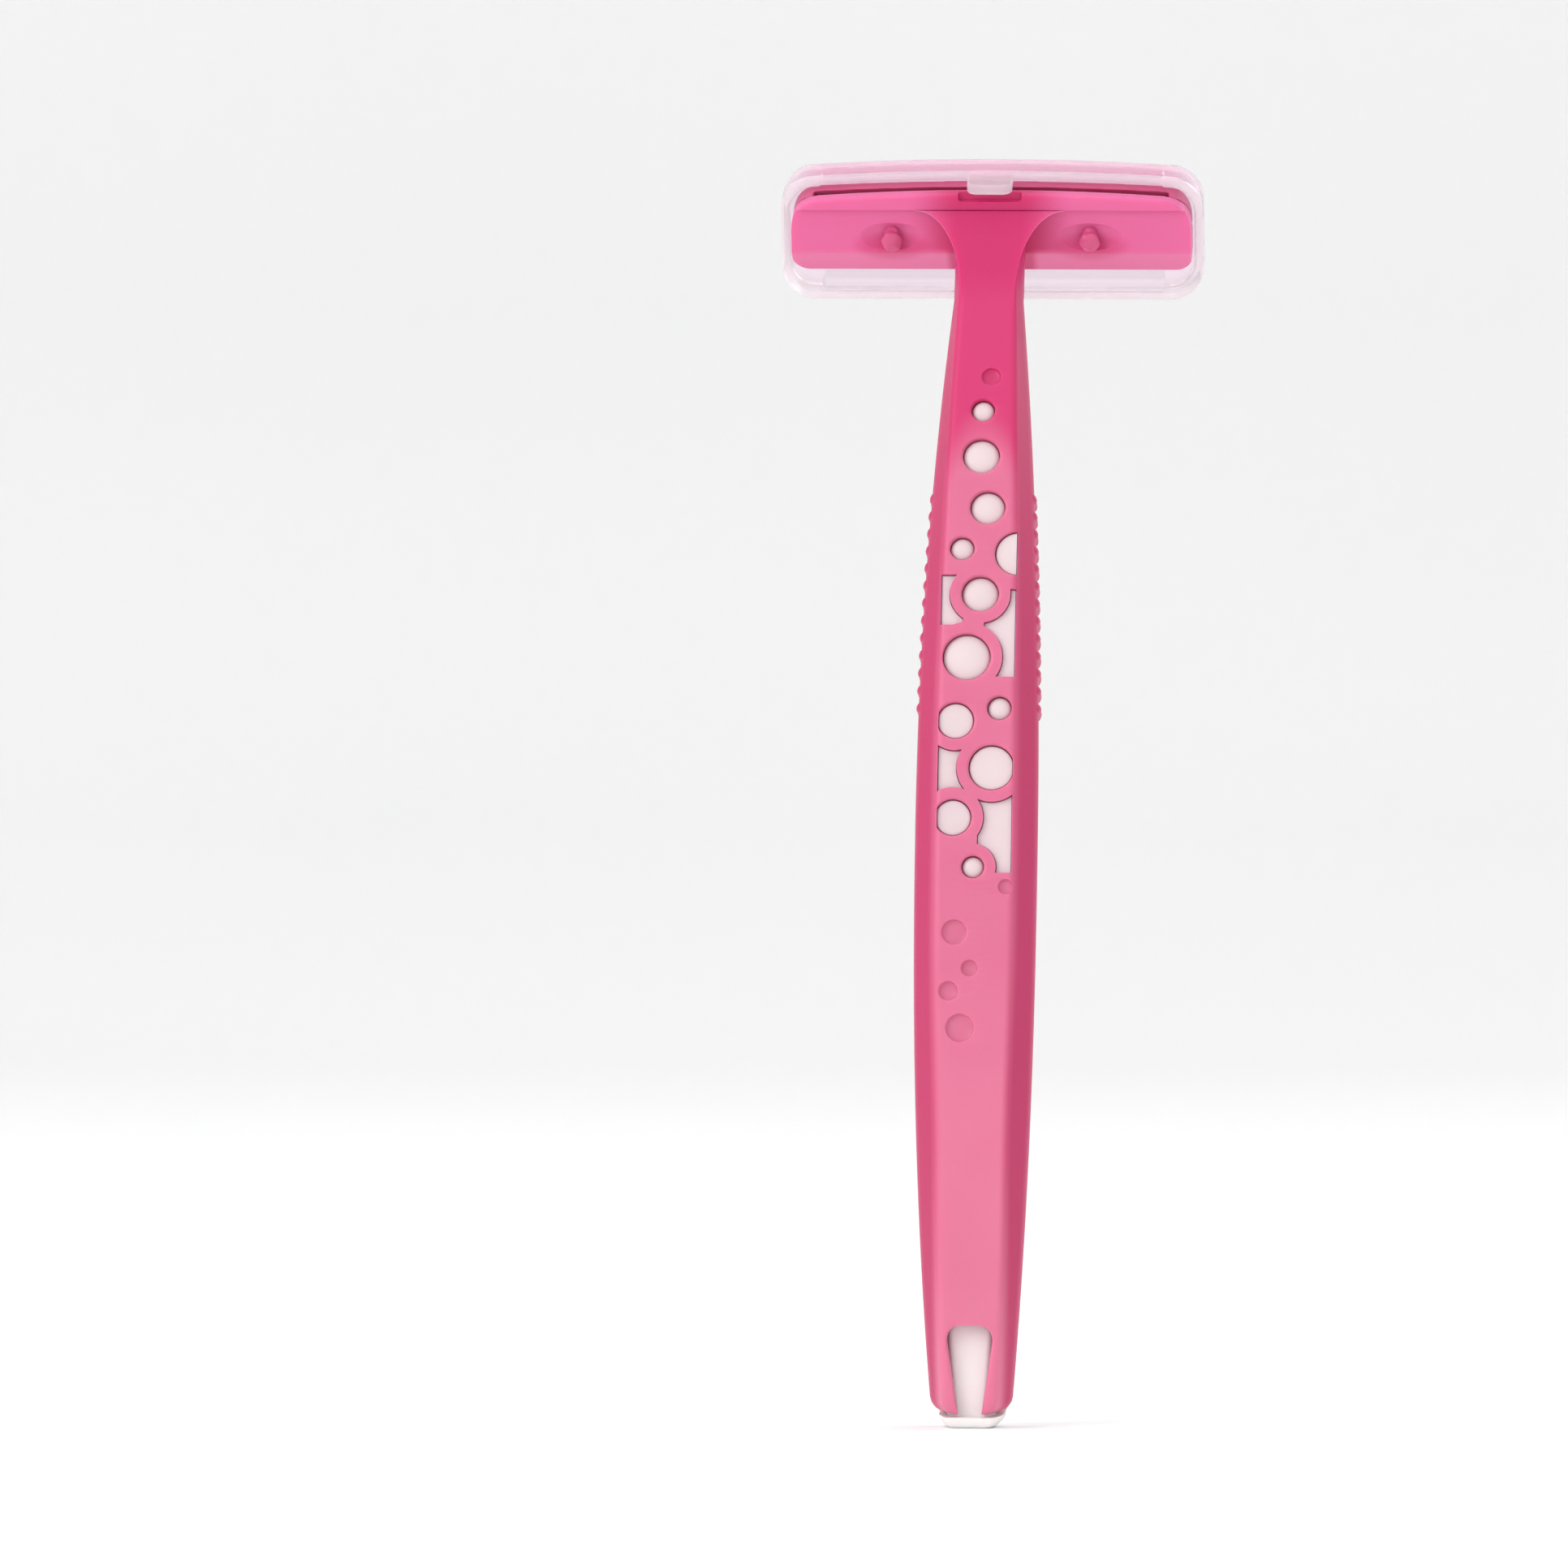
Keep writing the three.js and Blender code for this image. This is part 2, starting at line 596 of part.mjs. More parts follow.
function handleShell() {
  const outer = bowedBar(
    EASED_OUTLINE,
    stationsBetween(SHELL_END, HANDLE_LENGTH + ABOVE_HEAD, FACET_LENGTH),
    handleSection,
  );
  const channel = bowedBar(
    PLAIN_OUTLINE,
    stationsBetween(SHELL_END - FACET_LENGTH, PANEL_TOP + SEAM_GAP, FACET_LENGTH),
    (station) => {
      const section = insetSection(handleSection(station), SHELL_WALL);
      return { ...section, frontDepth: section.frontDepth + OVERSHOOT };
    },
  );
  const panelRoom = cuttingBar(
    stationsBetween(SHELL_END - FACET_LENGTH, PANEL_TOP + SEAM_GAP, FACET_LENGTH),
    () => GRIP.width,
    (station) => -handleSection(station).frontDepth - OVERSHOOT,
    (station) => -handleSection(station).frontDepth + PANEL_THICKNESS + SEAM_GAP,
  );
  const neckSlab = cuttingBar(
    stationsBetween(NECK_STATION, HANDLE_LENGTH + ABOVE_HEAD, FACET_LENGTH),
    () => NECK.width / 2 + NECK_FLARE,
    () => -NECK.frontDepth,
    () => NECK.backDepth,
  );
  const flareBlock = outOfHead(neckFlareOutline(), -FAR, PLATE_THICKNESS);
  const flare = toHeadPlace(flareBlock).intersect(neckSlab);
  const insidePlate = (STRIP_RAISE + PLATE_THICKNESS) / 3;
  const beyondPlate = toHeadPlace(headBox(-HEAD_WIDTH, HEAD_WIDTH, insidePlate, FAR, -FAR, FAR));
  const aboveStrip = toHeadPlace(headBox(-HEAD_WIDTH, HEAD_WIDTH, -FAR, FAR, NECK_RISE, FAR));
  const bar = joined([outer, ...ribs()]).subtract(channel).subtract(panelRoom);
  const handle = bar.add(flare).subtract(beyondPlate).subtract(aboveStrip);
  const drillings = toHeadPlace(
    posts(POST_RADIUS + POST_CLEARANCE, -HEAD_HEIGHT, UPPER_START),
  );
  return joined([handle, toHeadPlace(headBase())])
    .subtract(bubbleCuts())
    .subtract(tailSlot())
    .subtract(thumbGroove())
    .subtract(drillings);
}

function coreStations() {
  const tail = [0, 0.04, 0.13, 0.27, 0.45, 0.7, 1].map((share) => {
    return share * TAIL_ROUNDING - TAIL_TRIM;
  });
  const top = [1, 0.6, 0.3, 0.1, 0].map((share) => PANEL_TOP - share * PANEL_ROUNDING);
  const first = tail.at(-1) + FACET_LENGTH;
  return [...tail, ...stationsBetween(first, top[0] - FACET_LENGTH, FACET_LENGTH), ...top];
}

function drawnIn(section, draw) {
  return {
    ...section,
    front: section.front - draw,
    ridge: section.ridge - draw,
    back: section.back - draw,
  };
}

function handleCore() {
  const panel = bowedBar(PLAIN_OUTLINE, coreStations(), (station) => {
    const section = handleSection(station);
    const slope = (section.ridge - section.front) / section.frontDepth;
    const tailDraw = endDraw(station + TAIL_TRIM, TAIL_ROUNDING);
    const topDraw = endDraw(PANEL_TOP - station, PANEL_ROUNDING);
    const half = PANEL_THICKNESS / 2;
    return drawnIn(
      {
        front: section.front,
        ridge: section.front + slope * half,
        back: section.front + slope * PANEL_THICKNESS,
        frontDepth: half - Math.min(tailDraw, half - 0.05),
        backDepth: half,
        centre: half - section.frontDepth,
      },
      tailDraw + topDraw,
    );
  });
  const bodyStations = coreStations().filter((station) => station < PANEL_TOP - PANEL_ROUNDING - 1);
  const body = bowedBar(PLAIN_OUTLINE, bodyStations, (station) => {
    const section = insetSection(handleSection(station), SHELL_WALL + CORE_GAP);
    const draw = endDraw(station + TAIL_TRIM, TAIL_ROUNDING);
    const front = section.frontDepth - PANEL_THICKNESS / 2 - 0.7 * draw;
    return drawnIn({ ...section, frontDepth: front, backDepth: section.backDepth - draw }, draw);
  });
  const plugStations = coreStations().filter((station) => station < SHELL_END - CORE_GAP);
  const plug = bowedBar(PLAIN_OUTLINE, [...plugStations, SHELL_END - CORE_GAP], (station) => {
    const section = handleSection(station);
    const draw = endDraw(station + TAIL_TRIM, TAIL_ROUNDING);
    const frontDepth = section.frontDepth - 0.5 * draw;
    return drawnIn({ ...section, frontDepth, backDepth: section.backDepth - draw }, draw);
  });
  const room = 2 * PANEL_TOP;
  const below = solid(new THREE.BoxGeometry(room, room, room).translate(0, 0, -room / 2));
  return joined([panel, body, plug]).subtract(below);
}

// ---- Pieces of the head ----
function headCap() {
  const clear = STACK_HEIGHT + STACK_GAP;
  const lip = overBlade(EDGE_STEP + CAP_BEHIND_EDGE, clear);
  const [seatWallOut] = overBlade(BLADE_WIDTH + SEAT_PAST_BLADE, -SEAT_GAP);
  const back = overBlade(BLADE_WIDTH + CAP_PAST_BLADE, clear);
  const brow = [HEAD_DEPTH - CAP_BROW.in, HEAD_HEIGHT - CAP_BROW.down];
  const crest = [HEAD_DEPTH - CAP_CREST_IN, HEAD_HEIGHT];
  const wedge = [lip, brow, crest, [back[0], HEAD_HEIGHT + OVERSHOOT], back];
  const lugTop = EDGE_UP + END_ABOVE_EDGE + CAP_REST_GAP;
  const seatLow = overBlade(LUG_FROM_EDGE, 0);
  const seatHigh = overBlade(BLADE_WIDTH + SEAT_PAST_BLADE - 2 * CAP_GAP, 0);
  const lug = [
    [HEAD_DEPTH - LUG_IN, lugTop],
    brow,
    crest,
    [seatWallOut + CAP_GAP, HEAD_HEIGHT + OVERSHOOT],
    [seatWallOut + CAP_GAP, seatHigh[1]],
    seatHigh,
    [seatLow[0], Math.max(seatLow[1], lugTop)],
  ];
  const inner = HALF_HEAD - END_WIDTH;
  const between = headBox(-inner, inner, -OVERSHOOT, HEAD_DEPTH + OVERSHOOT, 0, FAR);
  const lugs = acrossHead(lug, HALF_HEAD).subtract(between);
  const stakeOut = STRIP_RAISE - STAKE_GAP - STAKE_HEIGHT / 2;
  const postEnd = -(EDGE_OUT - stakeOut) / Math.cos(slant) + POST_UP_BLADE * Math.tan(slant);
  const [, stakeUp] = overBlade(POST_UP_BLADE, postEnd);
  const stakes = joined([-1, 1].map((sign) => {
    const dome = new THREE.SphereGeometry(STAKE_RADIUS, 16, 8);
    dome.scale(1, STAKE_HEIGHT / 2 / STAKE_RADIUS, 1);
    return solid(dome.translate((sign * POST_SPACING) / 2, -stakeOut, stakeUp));
  }));
  return joined([acrossHead(wedge, HALF_HEAD), lugs])
    .intersect(headBlock())
    .add(posts(POST_RADIUS, postEnd, STACK_HEIGHT + POST_IN_CAP))
    .add(stakes);
}

// A strip in the blade frame: across the head, from one height over the lower blade to another.
function strip(length, fromAlong, toAlong, fromOver, toOver, bevel) {
  const shape = new THREE.Shape();
  shape.moveTo(fromAlong, fromOver);
  shape.lineTo(fromAlong + bevel, toOver);
  shape.lineTo(toAlong, toOver);
  shape.lineTo(toAlong, fromOver - 1e-3 * bevel);
  const geometry = new THREE.ExtrudeGeometry(shape, { depth: length, bevelEnabled: false });
  geometry.translate(0, 0, -length / 2);
  const turn = new THREE.Matrix4().set(0, 0, 1, 0, 0, -1, 0, 0, 1, 0, 0, 0, 0, 0, 0, 1);
  return solid(geometry, turn);
}

function postHoles() {
  return joined([-1, 1].map((sign) => {
    const radius = POST_RADIUS + POST_CLEARANCE;
    const geometry = new THREE.CylinderGeometry(radius, radius, BLADE_WIDTH, POST_SIDES);
    return solid(geometry.translate((sign * POST_SPACING) / 2, 0, POST_UP_BLADE));
  }));
}

function blade(setback, start) {
  return strip(BLADE_LENGTH, setback, BLADE_WIDTH, start, start + BLADE_THICKNESS, EDGE_BEVEL)
    .subtract(postHoles());
}

function bladeSpacer() {
  const start = BLADE_THICKNESS + STACK_GAP;
  return strip(BLADE_LENGTH, SPACER_SETBACK, BLADE_WIDTH, start, start + SPACER_THICKNESS, 0)
    .subtract(postHoles());
}

// A folded strip with slots: it laps over the lower blade's edge and shows as a row of teeth.
function combGuard() {
  const front = -STACK_GAP - COMB_THICKNESS;
  const over = BLADE_THICKNESS + STACK_GAP;
  const under = -STACK_GAP;
  const upper = strip(BLADE_LENGTH, front, COMB_REACH, over, over + COMB_THICKNESS, 0);
  const nose = strip(BLADE_LENGTH, front, -STACK_GAP, under - COMB_THICKNESS, over + 0.01, 0);
  const lower = strip(BLADE_LENGTH, front, COMB_REACH, under - COMB_THICKNESS, under, 0);
  const count = Math.floor((BLADE_LENGTH - COMB_SLOT) / COMB_PITCH);
  const slots = Array.from({ length: count }, (_, i) => {
    const across = (i - (count - 1) / 2) * COMB_PITCH;
    const geometry = new THREE.BoxGeometry(COMB_SLOT, COMB_PITCH, COMB_SLOT_DEPTH + OVERSHOOT);
    geometry.translate(across, 0, front + (COMB_SLOT_DEPTH - OVERSHOOT) / 2);
    return solid(geometry);
  });
  return joined([upper, nose, lower]).subtract(joined(slots));
}

// ---- Cover ----
function coverOutline(inset, lipBelow, lipAbove) {
  const half = HALF_HEAD + COVER_CLEARANCE + COVER_WALL - inset;
  const low = -COVER_BELOW + inset + lipBelow;
  const endTop = HEAD_HEIGHT - HEAD_ARCH + COVER_TOP_CLEARANCE + COVER_WALL - inset - lipAbove;
  const corner = Math.max(COVER_INNER_CORNER, COVER_CORNER - inset);
  const shape = new THREE.Shape();
  shape.moveTo(-half + corner, low);
  shape.lineTo(half - corner, low);
  shape.absarc(half - corner, low + corner, corner, -Math.PI / 2, 0, false);
  shape.lineTo(half, endTop - corner);
  shape.absarc(half - corner, endTop - corner, corner, 0, Math.PI / 2, false);
  shape.quadraticCurveTo(0, endTop + 2 * HEAD_ARCH, -half + corner, endTop);
  shape.absarc(-half + corner, endTop - corner, corner, Math.PI / 2, Math.PI, false);
  shape.lineTo(-half, low + corner);
  shape.absarc(-half + corner, low + corner, corner, Math.PI, 1.5 * Math.PI, false);
  return shape;
}

function cover() {
  const outer = outOfHead(coverOutline(0, 0, 0), COVER_RIM_OUT, COVER_FRONT_OUT);
  const floor = COVER_FRONT_OUT - COVER_WALL;
  const open = COVER_RIM_OUT - OVERSHOOT;
  const narrow = outOfHead(coverOutline(COVER_WALL, 0, 0), open, floor);
  const lippedOutline = coverOutline(COVER_WALL, COVER_LIP_BELOW, COVER_LIP_ABOVE);
  const lipped = outOfHead(lippedOutline, open, floor);
  const between = headBox(-COVER_LIP_FROM, COVER_LIP_FROM, 0, COVER_FRONT_OUT, -FAR, FAR);
  const room = narrow.intersect(between).add(lipped);
  const top = HEAD_HEIGHT + COVER_TOP_CLEARANCE;
  const half = TONGUE_WIDTH / 2;
  const root = COVER_RIM_OUT + COVER_WALL / 2;
  const tongue = headBox(-half, half, -TONGUE_BACK, root, top, top + COVER_WALL);
  const bumpTop = top + COVER_WALL / 2;
  const bump = headBox(-half, half, -TONGUE_BACK, -TONGUE_BUMP_FROM, top - TONGUE_BUMP, bumpTop);
  return joined([outer.subtract(room), tongue, bump]);
}

// ---- Assembly ----
const razor = new THREE.Group();
razor.add(meshOf('handle_shell', handleShell(), pinkShell));
razor.add(meshOf('handle_core', handleCore(), whiteCore));

const head = new THREE.Group();
head.position.copy(headOrigin);
head.rotation.x = -tilt;
head.add(meshOf('head_cap', headCap(), pinkCap));
head.add(meshOf('cover', cover(), coverClear));

const bladePack = new THREE.Group();
bladePack.position.set(0, -EDGE_OUT, EDGE_UP);
bladePack.rotation.x = -slant;
bladePack.add(meshOf('blade_lower', blade(0, 0), bladeSteel));
bladePack.add(meshOf('blade_spacer', bladeSpacer(), spacerGrey));
bladePack.add(meshOf('blade_upper', blade(EDGE_STEP, UPPER_START), bladeSteel.clone()));
bladePack.add(meshOf('comb_guard', combGuard(), combSteel));
head.add(bladePack);
razor.add(head);

export default razor;
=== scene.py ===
# %% [markdown]
# # A disposable two-blade razor under its clear travel cover
# The razor is two mouldings: a pink outer shell with bubble-shaped holes, and a white core
# that shows through them. The head holds two thin blades, a spacer and a slotted guard strip
# under a riveted cap, and a clear cover pushes over it. The CAD model gives every place and
# size; here each piece gets its soft moulded edges, its small details and its finish.

# %% Load the fixed frame
import math

import bmesh
import bpy
import numpy as np
from mathutils import Matrix, Vector
from mathutils import noise as wobble


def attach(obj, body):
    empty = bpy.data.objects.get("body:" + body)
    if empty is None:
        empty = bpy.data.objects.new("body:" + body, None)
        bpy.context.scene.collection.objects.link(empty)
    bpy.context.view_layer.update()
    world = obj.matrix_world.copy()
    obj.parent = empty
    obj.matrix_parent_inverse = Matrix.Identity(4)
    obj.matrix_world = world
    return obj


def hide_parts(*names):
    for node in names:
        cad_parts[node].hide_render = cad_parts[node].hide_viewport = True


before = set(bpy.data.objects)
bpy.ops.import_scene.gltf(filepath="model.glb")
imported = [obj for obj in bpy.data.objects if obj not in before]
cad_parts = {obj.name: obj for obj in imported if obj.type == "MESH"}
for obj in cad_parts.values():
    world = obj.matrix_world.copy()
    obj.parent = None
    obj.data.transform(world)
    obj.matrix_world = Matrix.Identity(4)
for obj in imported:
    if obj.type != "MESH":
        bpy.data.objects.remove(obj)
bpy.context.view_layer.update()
MM = 0.001
print("nodes:", ", ".join(sorted(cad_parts)))

# %% [markdown]
# ## Camera
# A long lens from far behind the razor keeps its sides nearly parallel. The view stands level
# with the middle of the handle, a few degrees to one side, and the razor stands to the right
# of the middle of the picture. Aiming beside the razor does that without any lens shift.

# %% Camera
VIEW_WIDTH = 159.3 * MM
CAMERA_DISTANCE = 1.25
CAMERA_SIDE = math.radians(3.3)
CAMERA_ROLL = math.radians(0.35)
CAMERA_HEIGHT = 65.2 * MM
RAZOR_OFFSET = 19.4 * MM
SENSOR = 36

bow_middle = Vector((0, 0, CAMERA_HEIGHT))
camera_data = bpy.data.cameras.new("camera")
camera_data.sensor_width = SENSOR
camera_data.lens = SENSOR * CAMERA_DISTANCE / VIEW_WIDTH
camera = bpy.data.objects.new("camera", camera_data)
bpy.context.scene.collection.objects.link(camera)
away = Vector((-math.sin(CAMERA_SIDE), math.cos(CAMERA_SIDE), 0))
camera.location = bow_middle + away * CAMERA_DISTANCE
beside = Vector((math.cos(CAMERA_SIDE), math.sin(CAMERA_SIDE), 0)) * RAZOR_OFFSET
aim = bow_middle + beside - camera.location
camera.rotation_mode = "QUATERNION"
turned = aim.to_track_quat("-Z", "Y").to_matrix().to_4x4()
roll = Vector((0, 0, 1))
camera.rotation_quaternion = (turned @ Matrix.Rotation(CAMERA_ROLL, 4, roll)).to_quaternion()
bpy.context.scene.camera = camera
bpy.context.scene.view_settings.view_transform = "Standard"
print("lens, mm:", round(camera_data.lens, 1))

# %% [markdown]
# ## Mesh helpers
# Most pieces here are bars: one outline repeated along a path. `loft` joins such rings into a
# closed skin, and `combine` joins or cuts whole bodies. Booleans on closed bodies are the
# quickest way to a moulding with many holes, as long as each cutter is closed too.

# %% Mesh helpers
def add_object(name, mesh):
    made = bpy.data.objects.new(name, mesh)
    bpy.context.scene.collection.objects.link(made)
    return made


def from_parts(name, points, faces):
    mesh = bpy.data.meshes.new(name)
    mesh.from_pydata([tuple(p) for p in points], [], faces)
    shape = bmesh.new()
    shape.from_mesh(mesh)
    bmesh.ops.remove_doubles(shape, verts=shape.verts, dist=1e-7)
    bmesh.ops.recalc_face_normals(shape, faces=shape.faces)
    shape.to_mesh(mesh)
    shape.free()
    return add_object(name, mesh)


def loft(name, rings):
    """Closed skin over rings of points, each ring with the same number of points."""
    rings = np.asarray(rings, float)
    count, around = rings.shape[:2]
    faces = []
    for i in range(count - 1):
        for j in range(around):
            k = (j + 1) % around
            faces.append((i * around + j, i * around + k, (i + 1) * around + k, (i + 1) * around + j))
    faces.append(tuple(reversed(range(around))))
    faces.append(tuple((count - 1) * around + j for j in range(around)))
    return from_parts(name, rings.reshape(-1, 3), faces)


def bake(piece):
    """Replaces a piece's mesh by its evaluated one and drops the modifiers."""
    evaluated = piece.evaluated_get(bpy.context.evaluated_depsgraph_get())
    mesh = bpy.data.meshes.new_from_object(evaluated)
    piece.modifiers.clear()
    piece.data = mesh
    return piece


def combine(piece, how, *tools):
    for tool in tools:
        step = piece.modifiers.new(how, "BOOLEAN")
        step.operation = how
        step.solver = "MANIFOLD"
        step.object = tool
    bake(piece)
    for tool in tools:
        bpy.data.objects.remove(tool)
    return piece


def soften(piece, width, steps=2, angle=35):
    edge = piece.modifiers.new("eased", "BEVEL")
    edge.width = width
    edge.segments = steps
    edge.limit_method = "ANGLE"
    edge.angle_limit = math.radians(angle)
    return bake(piece)


def eased(corners, steps=5):
    """Polygon with its corners rounded: (x, y, distance from the corner where rounding starts)."""
    points = []
    for i, (x, y, ease) in enumerate(corners):
        here = np.array((x, y), float)
        before = np.array(corners[i - 1][:2], float) - here
        after = np.array(corners[(i + 1) % len(corners)][:2], float) - here
        start = here + before / np.linalg.norm(before) * ease
        end = here + after / np.linalg.norm(after) * ease
        for t in np.linspace(0, 1, steps + 1):
            points.append((1 - t) ** 2 * start + 2 * t * (1 - t) * here + t**2 * end)
    return np.array(points)


# %% [markdown]
# ## The bowed handle
# The handle lies on one long arc. A place on it is a distance from the tail, a distance across
# and a depth: negative towards the shaving side, positive towards the back. All its pieces are
# made from the same few section sizes, so that they fit into one another.

# %% Handle sizes
HANDLE_LENGTH = 127 * MM
BOW_RADIUS = 240 * MM
TAIL_LEAN = math.radians(4.6)
GRIP_STATION = 60 * MM
NECK_STATION = HANDLE_LENGTH - 9 * MM
PANEL_TOP = HANDLE_LENGTH - 21.5 * MM
TAIL = np.array((8.2, 0.45, 1.6, 3.4, 3.2)) * MM
GRIP = np.array((12.9, 1.15, 2.55, 5.2, 4.0)) * MM
NECK = np.array((7.4, 0.3, 0.9, 2.5, 2.5)) * MM
TAIL_SWELL = 2.3
NECK_SWELL = 2.05
SHELL_WALL = 1.2 * MM
SHELL_END = 1.6 * MM
PANEL_THICKNESS = 1.2 * MM
CORE_GAP = 0.3 * MM
SEAM_GAP = 0.25 * MM
PAST = 1 * MM


def bow_point(station, across, depth):
    lean = station / BOW_RADIUS - TAIL_LEAN
    y = BOW_RADIUS * (math.cos(lean) - math.cos(TAIL_LEAN)) + depth * math.cos(lean)
    z = BOW_RADIUS * (math.sin(lean) + math.sin(TAIL_LEAN)) + depth * math.sin(lean)
    return (across, y, z)


def section(station):
    """Half widths at the front, at the widest line and at the back, then the two depths."""
    if station <= GRIP_STATION:
        end = TAIL
        swell = 1 - ((GRIP_STATION - station) / GRIP_STATION) ** TAIL_SWELL
    else:
        end = NECK
        share = min(1, (station - GRIP_STATION) / (NECK_STATION - GRIP_STATION))
        swell = 1 - share**NECK_SWELL
    width, front_in, back_in, front_depth, back_depth = end + (GRIP - end) * swell
    return width / 2 - front_in, width / 2, width / 2 - back_in, front_depth, back_depth


def stations(start, end, step=1 * MM):
    return np.linspace(start, end, max(2, round((end - start) / step) + 1))


def bowed(name, places, outline_at):
    """A bar along the handle: outline_at gives (across, depth) points at a station."""
    return loft(name, [[bow_point(s, x, d) for x, d in outline_at(s)] for s in places])


def six_sided(front, ridge, back, front_depth, back_depth, ease):
    """The section's outline, eased at its front corners, sides and back corners."""
    side = [(front, -front_depth, ease[0]), (ridge, 0, ease[1]), (back, back_depth, ease[2])]
    return eased(side + [(-x, d, e) for x, d, e in reversed(side)])


def walled(sizes, wall):
    """The same section with its sides and back moved in by a wall."""
    front, ridge, back, front_depth, back_depth = sizes
    front_slope = (ridge - front) / front_depth
    back_slope = (ridge - back) / back_depth
    return (
        front - wall * math.hypot(1, front_slope),
        ridge - wall * math.hypot(1, back_slope),
        back + wall * (back_slope - math.hypot(1, back_slope)),
        front_depth,
        back_depth - wall,
    )


def slab(name, places, half_at, depths_at):
    """A straight-sided bar between two depths."""
    def outline(station):
        half = half_at(station)
        low, high = depths_at(station)
        return [(half, low), (half, high), (-half, high), (-half, low)]
    return bowed(name, places, outline)


def end_draw(distance, radius):
    """How far a rounded end draws in at a distance from that end."""
    inside = min(1, max(0, 1 - distance / radius))
    return radius * (1 - math.sqrt(1 - inside * inside))


print("widest, mm:", [round(v / MM, 2) for v in section(GRIP_STATION)])

# %% [markdown]
# ## The head's own frame
# The head leans forward by 25 degrees. "Out" is the distance in front of its back face and
# "up" the distance above its lower edge. The blades lean a further 30 degrees, so they have
# "along", back from the lower blade's edge, and "over", from the lower blade towards the cap.

# %% Head frame
HEAD_TILT = math.radians(25)
BLADE_ANGLE = math.radians(30)
HEAD_WIDTH = 41.4 * MM
HEAD_HEIGHT = 9.8 * MM
HEAD_DEPTH = 5 * MM
NECK_RISE = 8 * MM
EDGE_OUT = 4.72 * MM
EDGE_UP = 3.8 * MM
neck_back = bow_point(HANDLE_LENGTH, 0, NECK[4])
HEAD_Y = neck_back[1] - NECK_RISE * math.sin(HEAD_TILT)
HEAD_Z = neck_back[2] - NECK_RISE * math.cos(HEAD_TILT)


def head_point(across, out, up):
    y = HEAD_Y - out * math.cos(HEAD_TILT) + up * math.sin(HEAD_TILT)
    z = HEAD_Z + out * math.sin(HEAD_TILT) + up * math.cos(HEAD_TILT)
    return (across, y, z)


def over_blade(along, over):
    out = EDGE_OUT - along * math.sin(BLADE_ANGLE) + over * math.cos(BLADE_ANGLE)
    up = EDGE_UP + along * math.cos(BLADE_ANGLE) + over * math.sin(BLADE_ANGLE)
    return out, up


def across_head(name, outline, half, slices=1):
    """An outline of (out, up) points, run across the head."""
    places = np.linspace(-half, half, slices + 1)
    return loft(name, [[head_point(x, out, up) for out, up in outline] for x in places])


def out_of_head(name, rings):
    """Rings of (across, up) points, each with its own out distance."""
    return loft(name, [[head_point(x, out, up) for x, up in ring] for out, ring in rings])


def arc(centre, radius, start, end, steps):
    angles = np.radians(np.linspace(start, end, steps + 1))
    return [(centre[0] + radius * math.cos(a), centre[1] + radius * math.sin(a)) for a in angles]


print("head origin, mm:", round(HEAD_Y / MM, 3), round(HEAD_Z / MM, 3))

# %% [markdown]
# ## Patterns shared by the finishes
# Moulded plastic is never quite even: the tool leaves a fine grain, and the melt leaves soft
# clouds. Both are noise read from Object coordinates, kept in one group that every plastic
# uses with its own scales. A second group turns a point into its place on the bowed handle,
# so that a colour can follow the moulding. A third makes the fine lines of ground steel.

# %% Shader groups
def linear(red, green, blue):
    """A colour given as the eye sees it, 0 to 255, as a shader's linear colour."""
    values = [v / 255 for v in (red, green, blue)]
    return tuple(v / 12.92 if v < 0.04045 else ((v + 0.055) / 1.055) ** 2.4 for v in values) + (1,)


def new_group(name, inputs, outputs):
    tree = bpy.data.node_groups.new(name, "ShaderNodeTree")
    for label, kind, value in inputs:
        socket = tree.interface.new_socket(label, in_out="INPUT", socket_type=kind)
        if value is not None:
            socket.default_value = value
    for label, kind in outputs:
        tree.interface.new_socket(label, in_out="OUTPUT", socket_type=kind)
    return tree, tree.nodes.new("NodeGroupInput"), tree.nodes.new("NodeGroupOutput")


def maths(tree, operation, first, second=None):
    node = tree.nodes.new("ShaderNodeMath")
    node.operation = operation
    for socket, value in zip(node.inputs, (first, second)):
        if isinstance(value, bpy.types.NodeSocket):
            tree.links.new(value, socket)
        elif value is not None:
            socket.default_value = value
    return node.outputs[0]


def smooth_step(tree, value, start, end):
    node = tree.nodes.new("ShaderNodeMapRange")
    node.interpolation_type = "SMOOTHSTEP"
    tree.links.new(value, node.inputs["Value"])
    for label, given in (("From Min", start), ("From Max", end)):
        if isinstance(given, bpy.types.NodeSocket):
            tree.links.new(given, node.inputs[label])
        else:
            node.inputs[label].default_value = given
    return node.outputs["Result"]


def mix(tree, share, first, second):
    node = tree.nodes.new("ShaderNodeMix")
    node.data_type = "RGBA"
    for label, value in ((0, share), (6, first), (7, second)):
        if isinstance(value, bpy.types.NodeSocket):
            tree.links.new(value, node.inputs[label])
        else:
            node.inputs[label].default_value = value
    return node.outputs[2]


def noise(tree, vector, scale, detail=2.0):
    node = tree.nodes.new("ShaderNodeTexNoise")
    node.inputs["Detail"].default_value = detail
    tree.links.new(vector, node.inputs["Vector"])
    if isinstance(scale, bpy.types.NodeSocket):
        tree.links.new(scale, node.inputs["Scale"])
    else:
        node.inputs["Scale"].default_value = scale
    return node.outputs["Fac"]


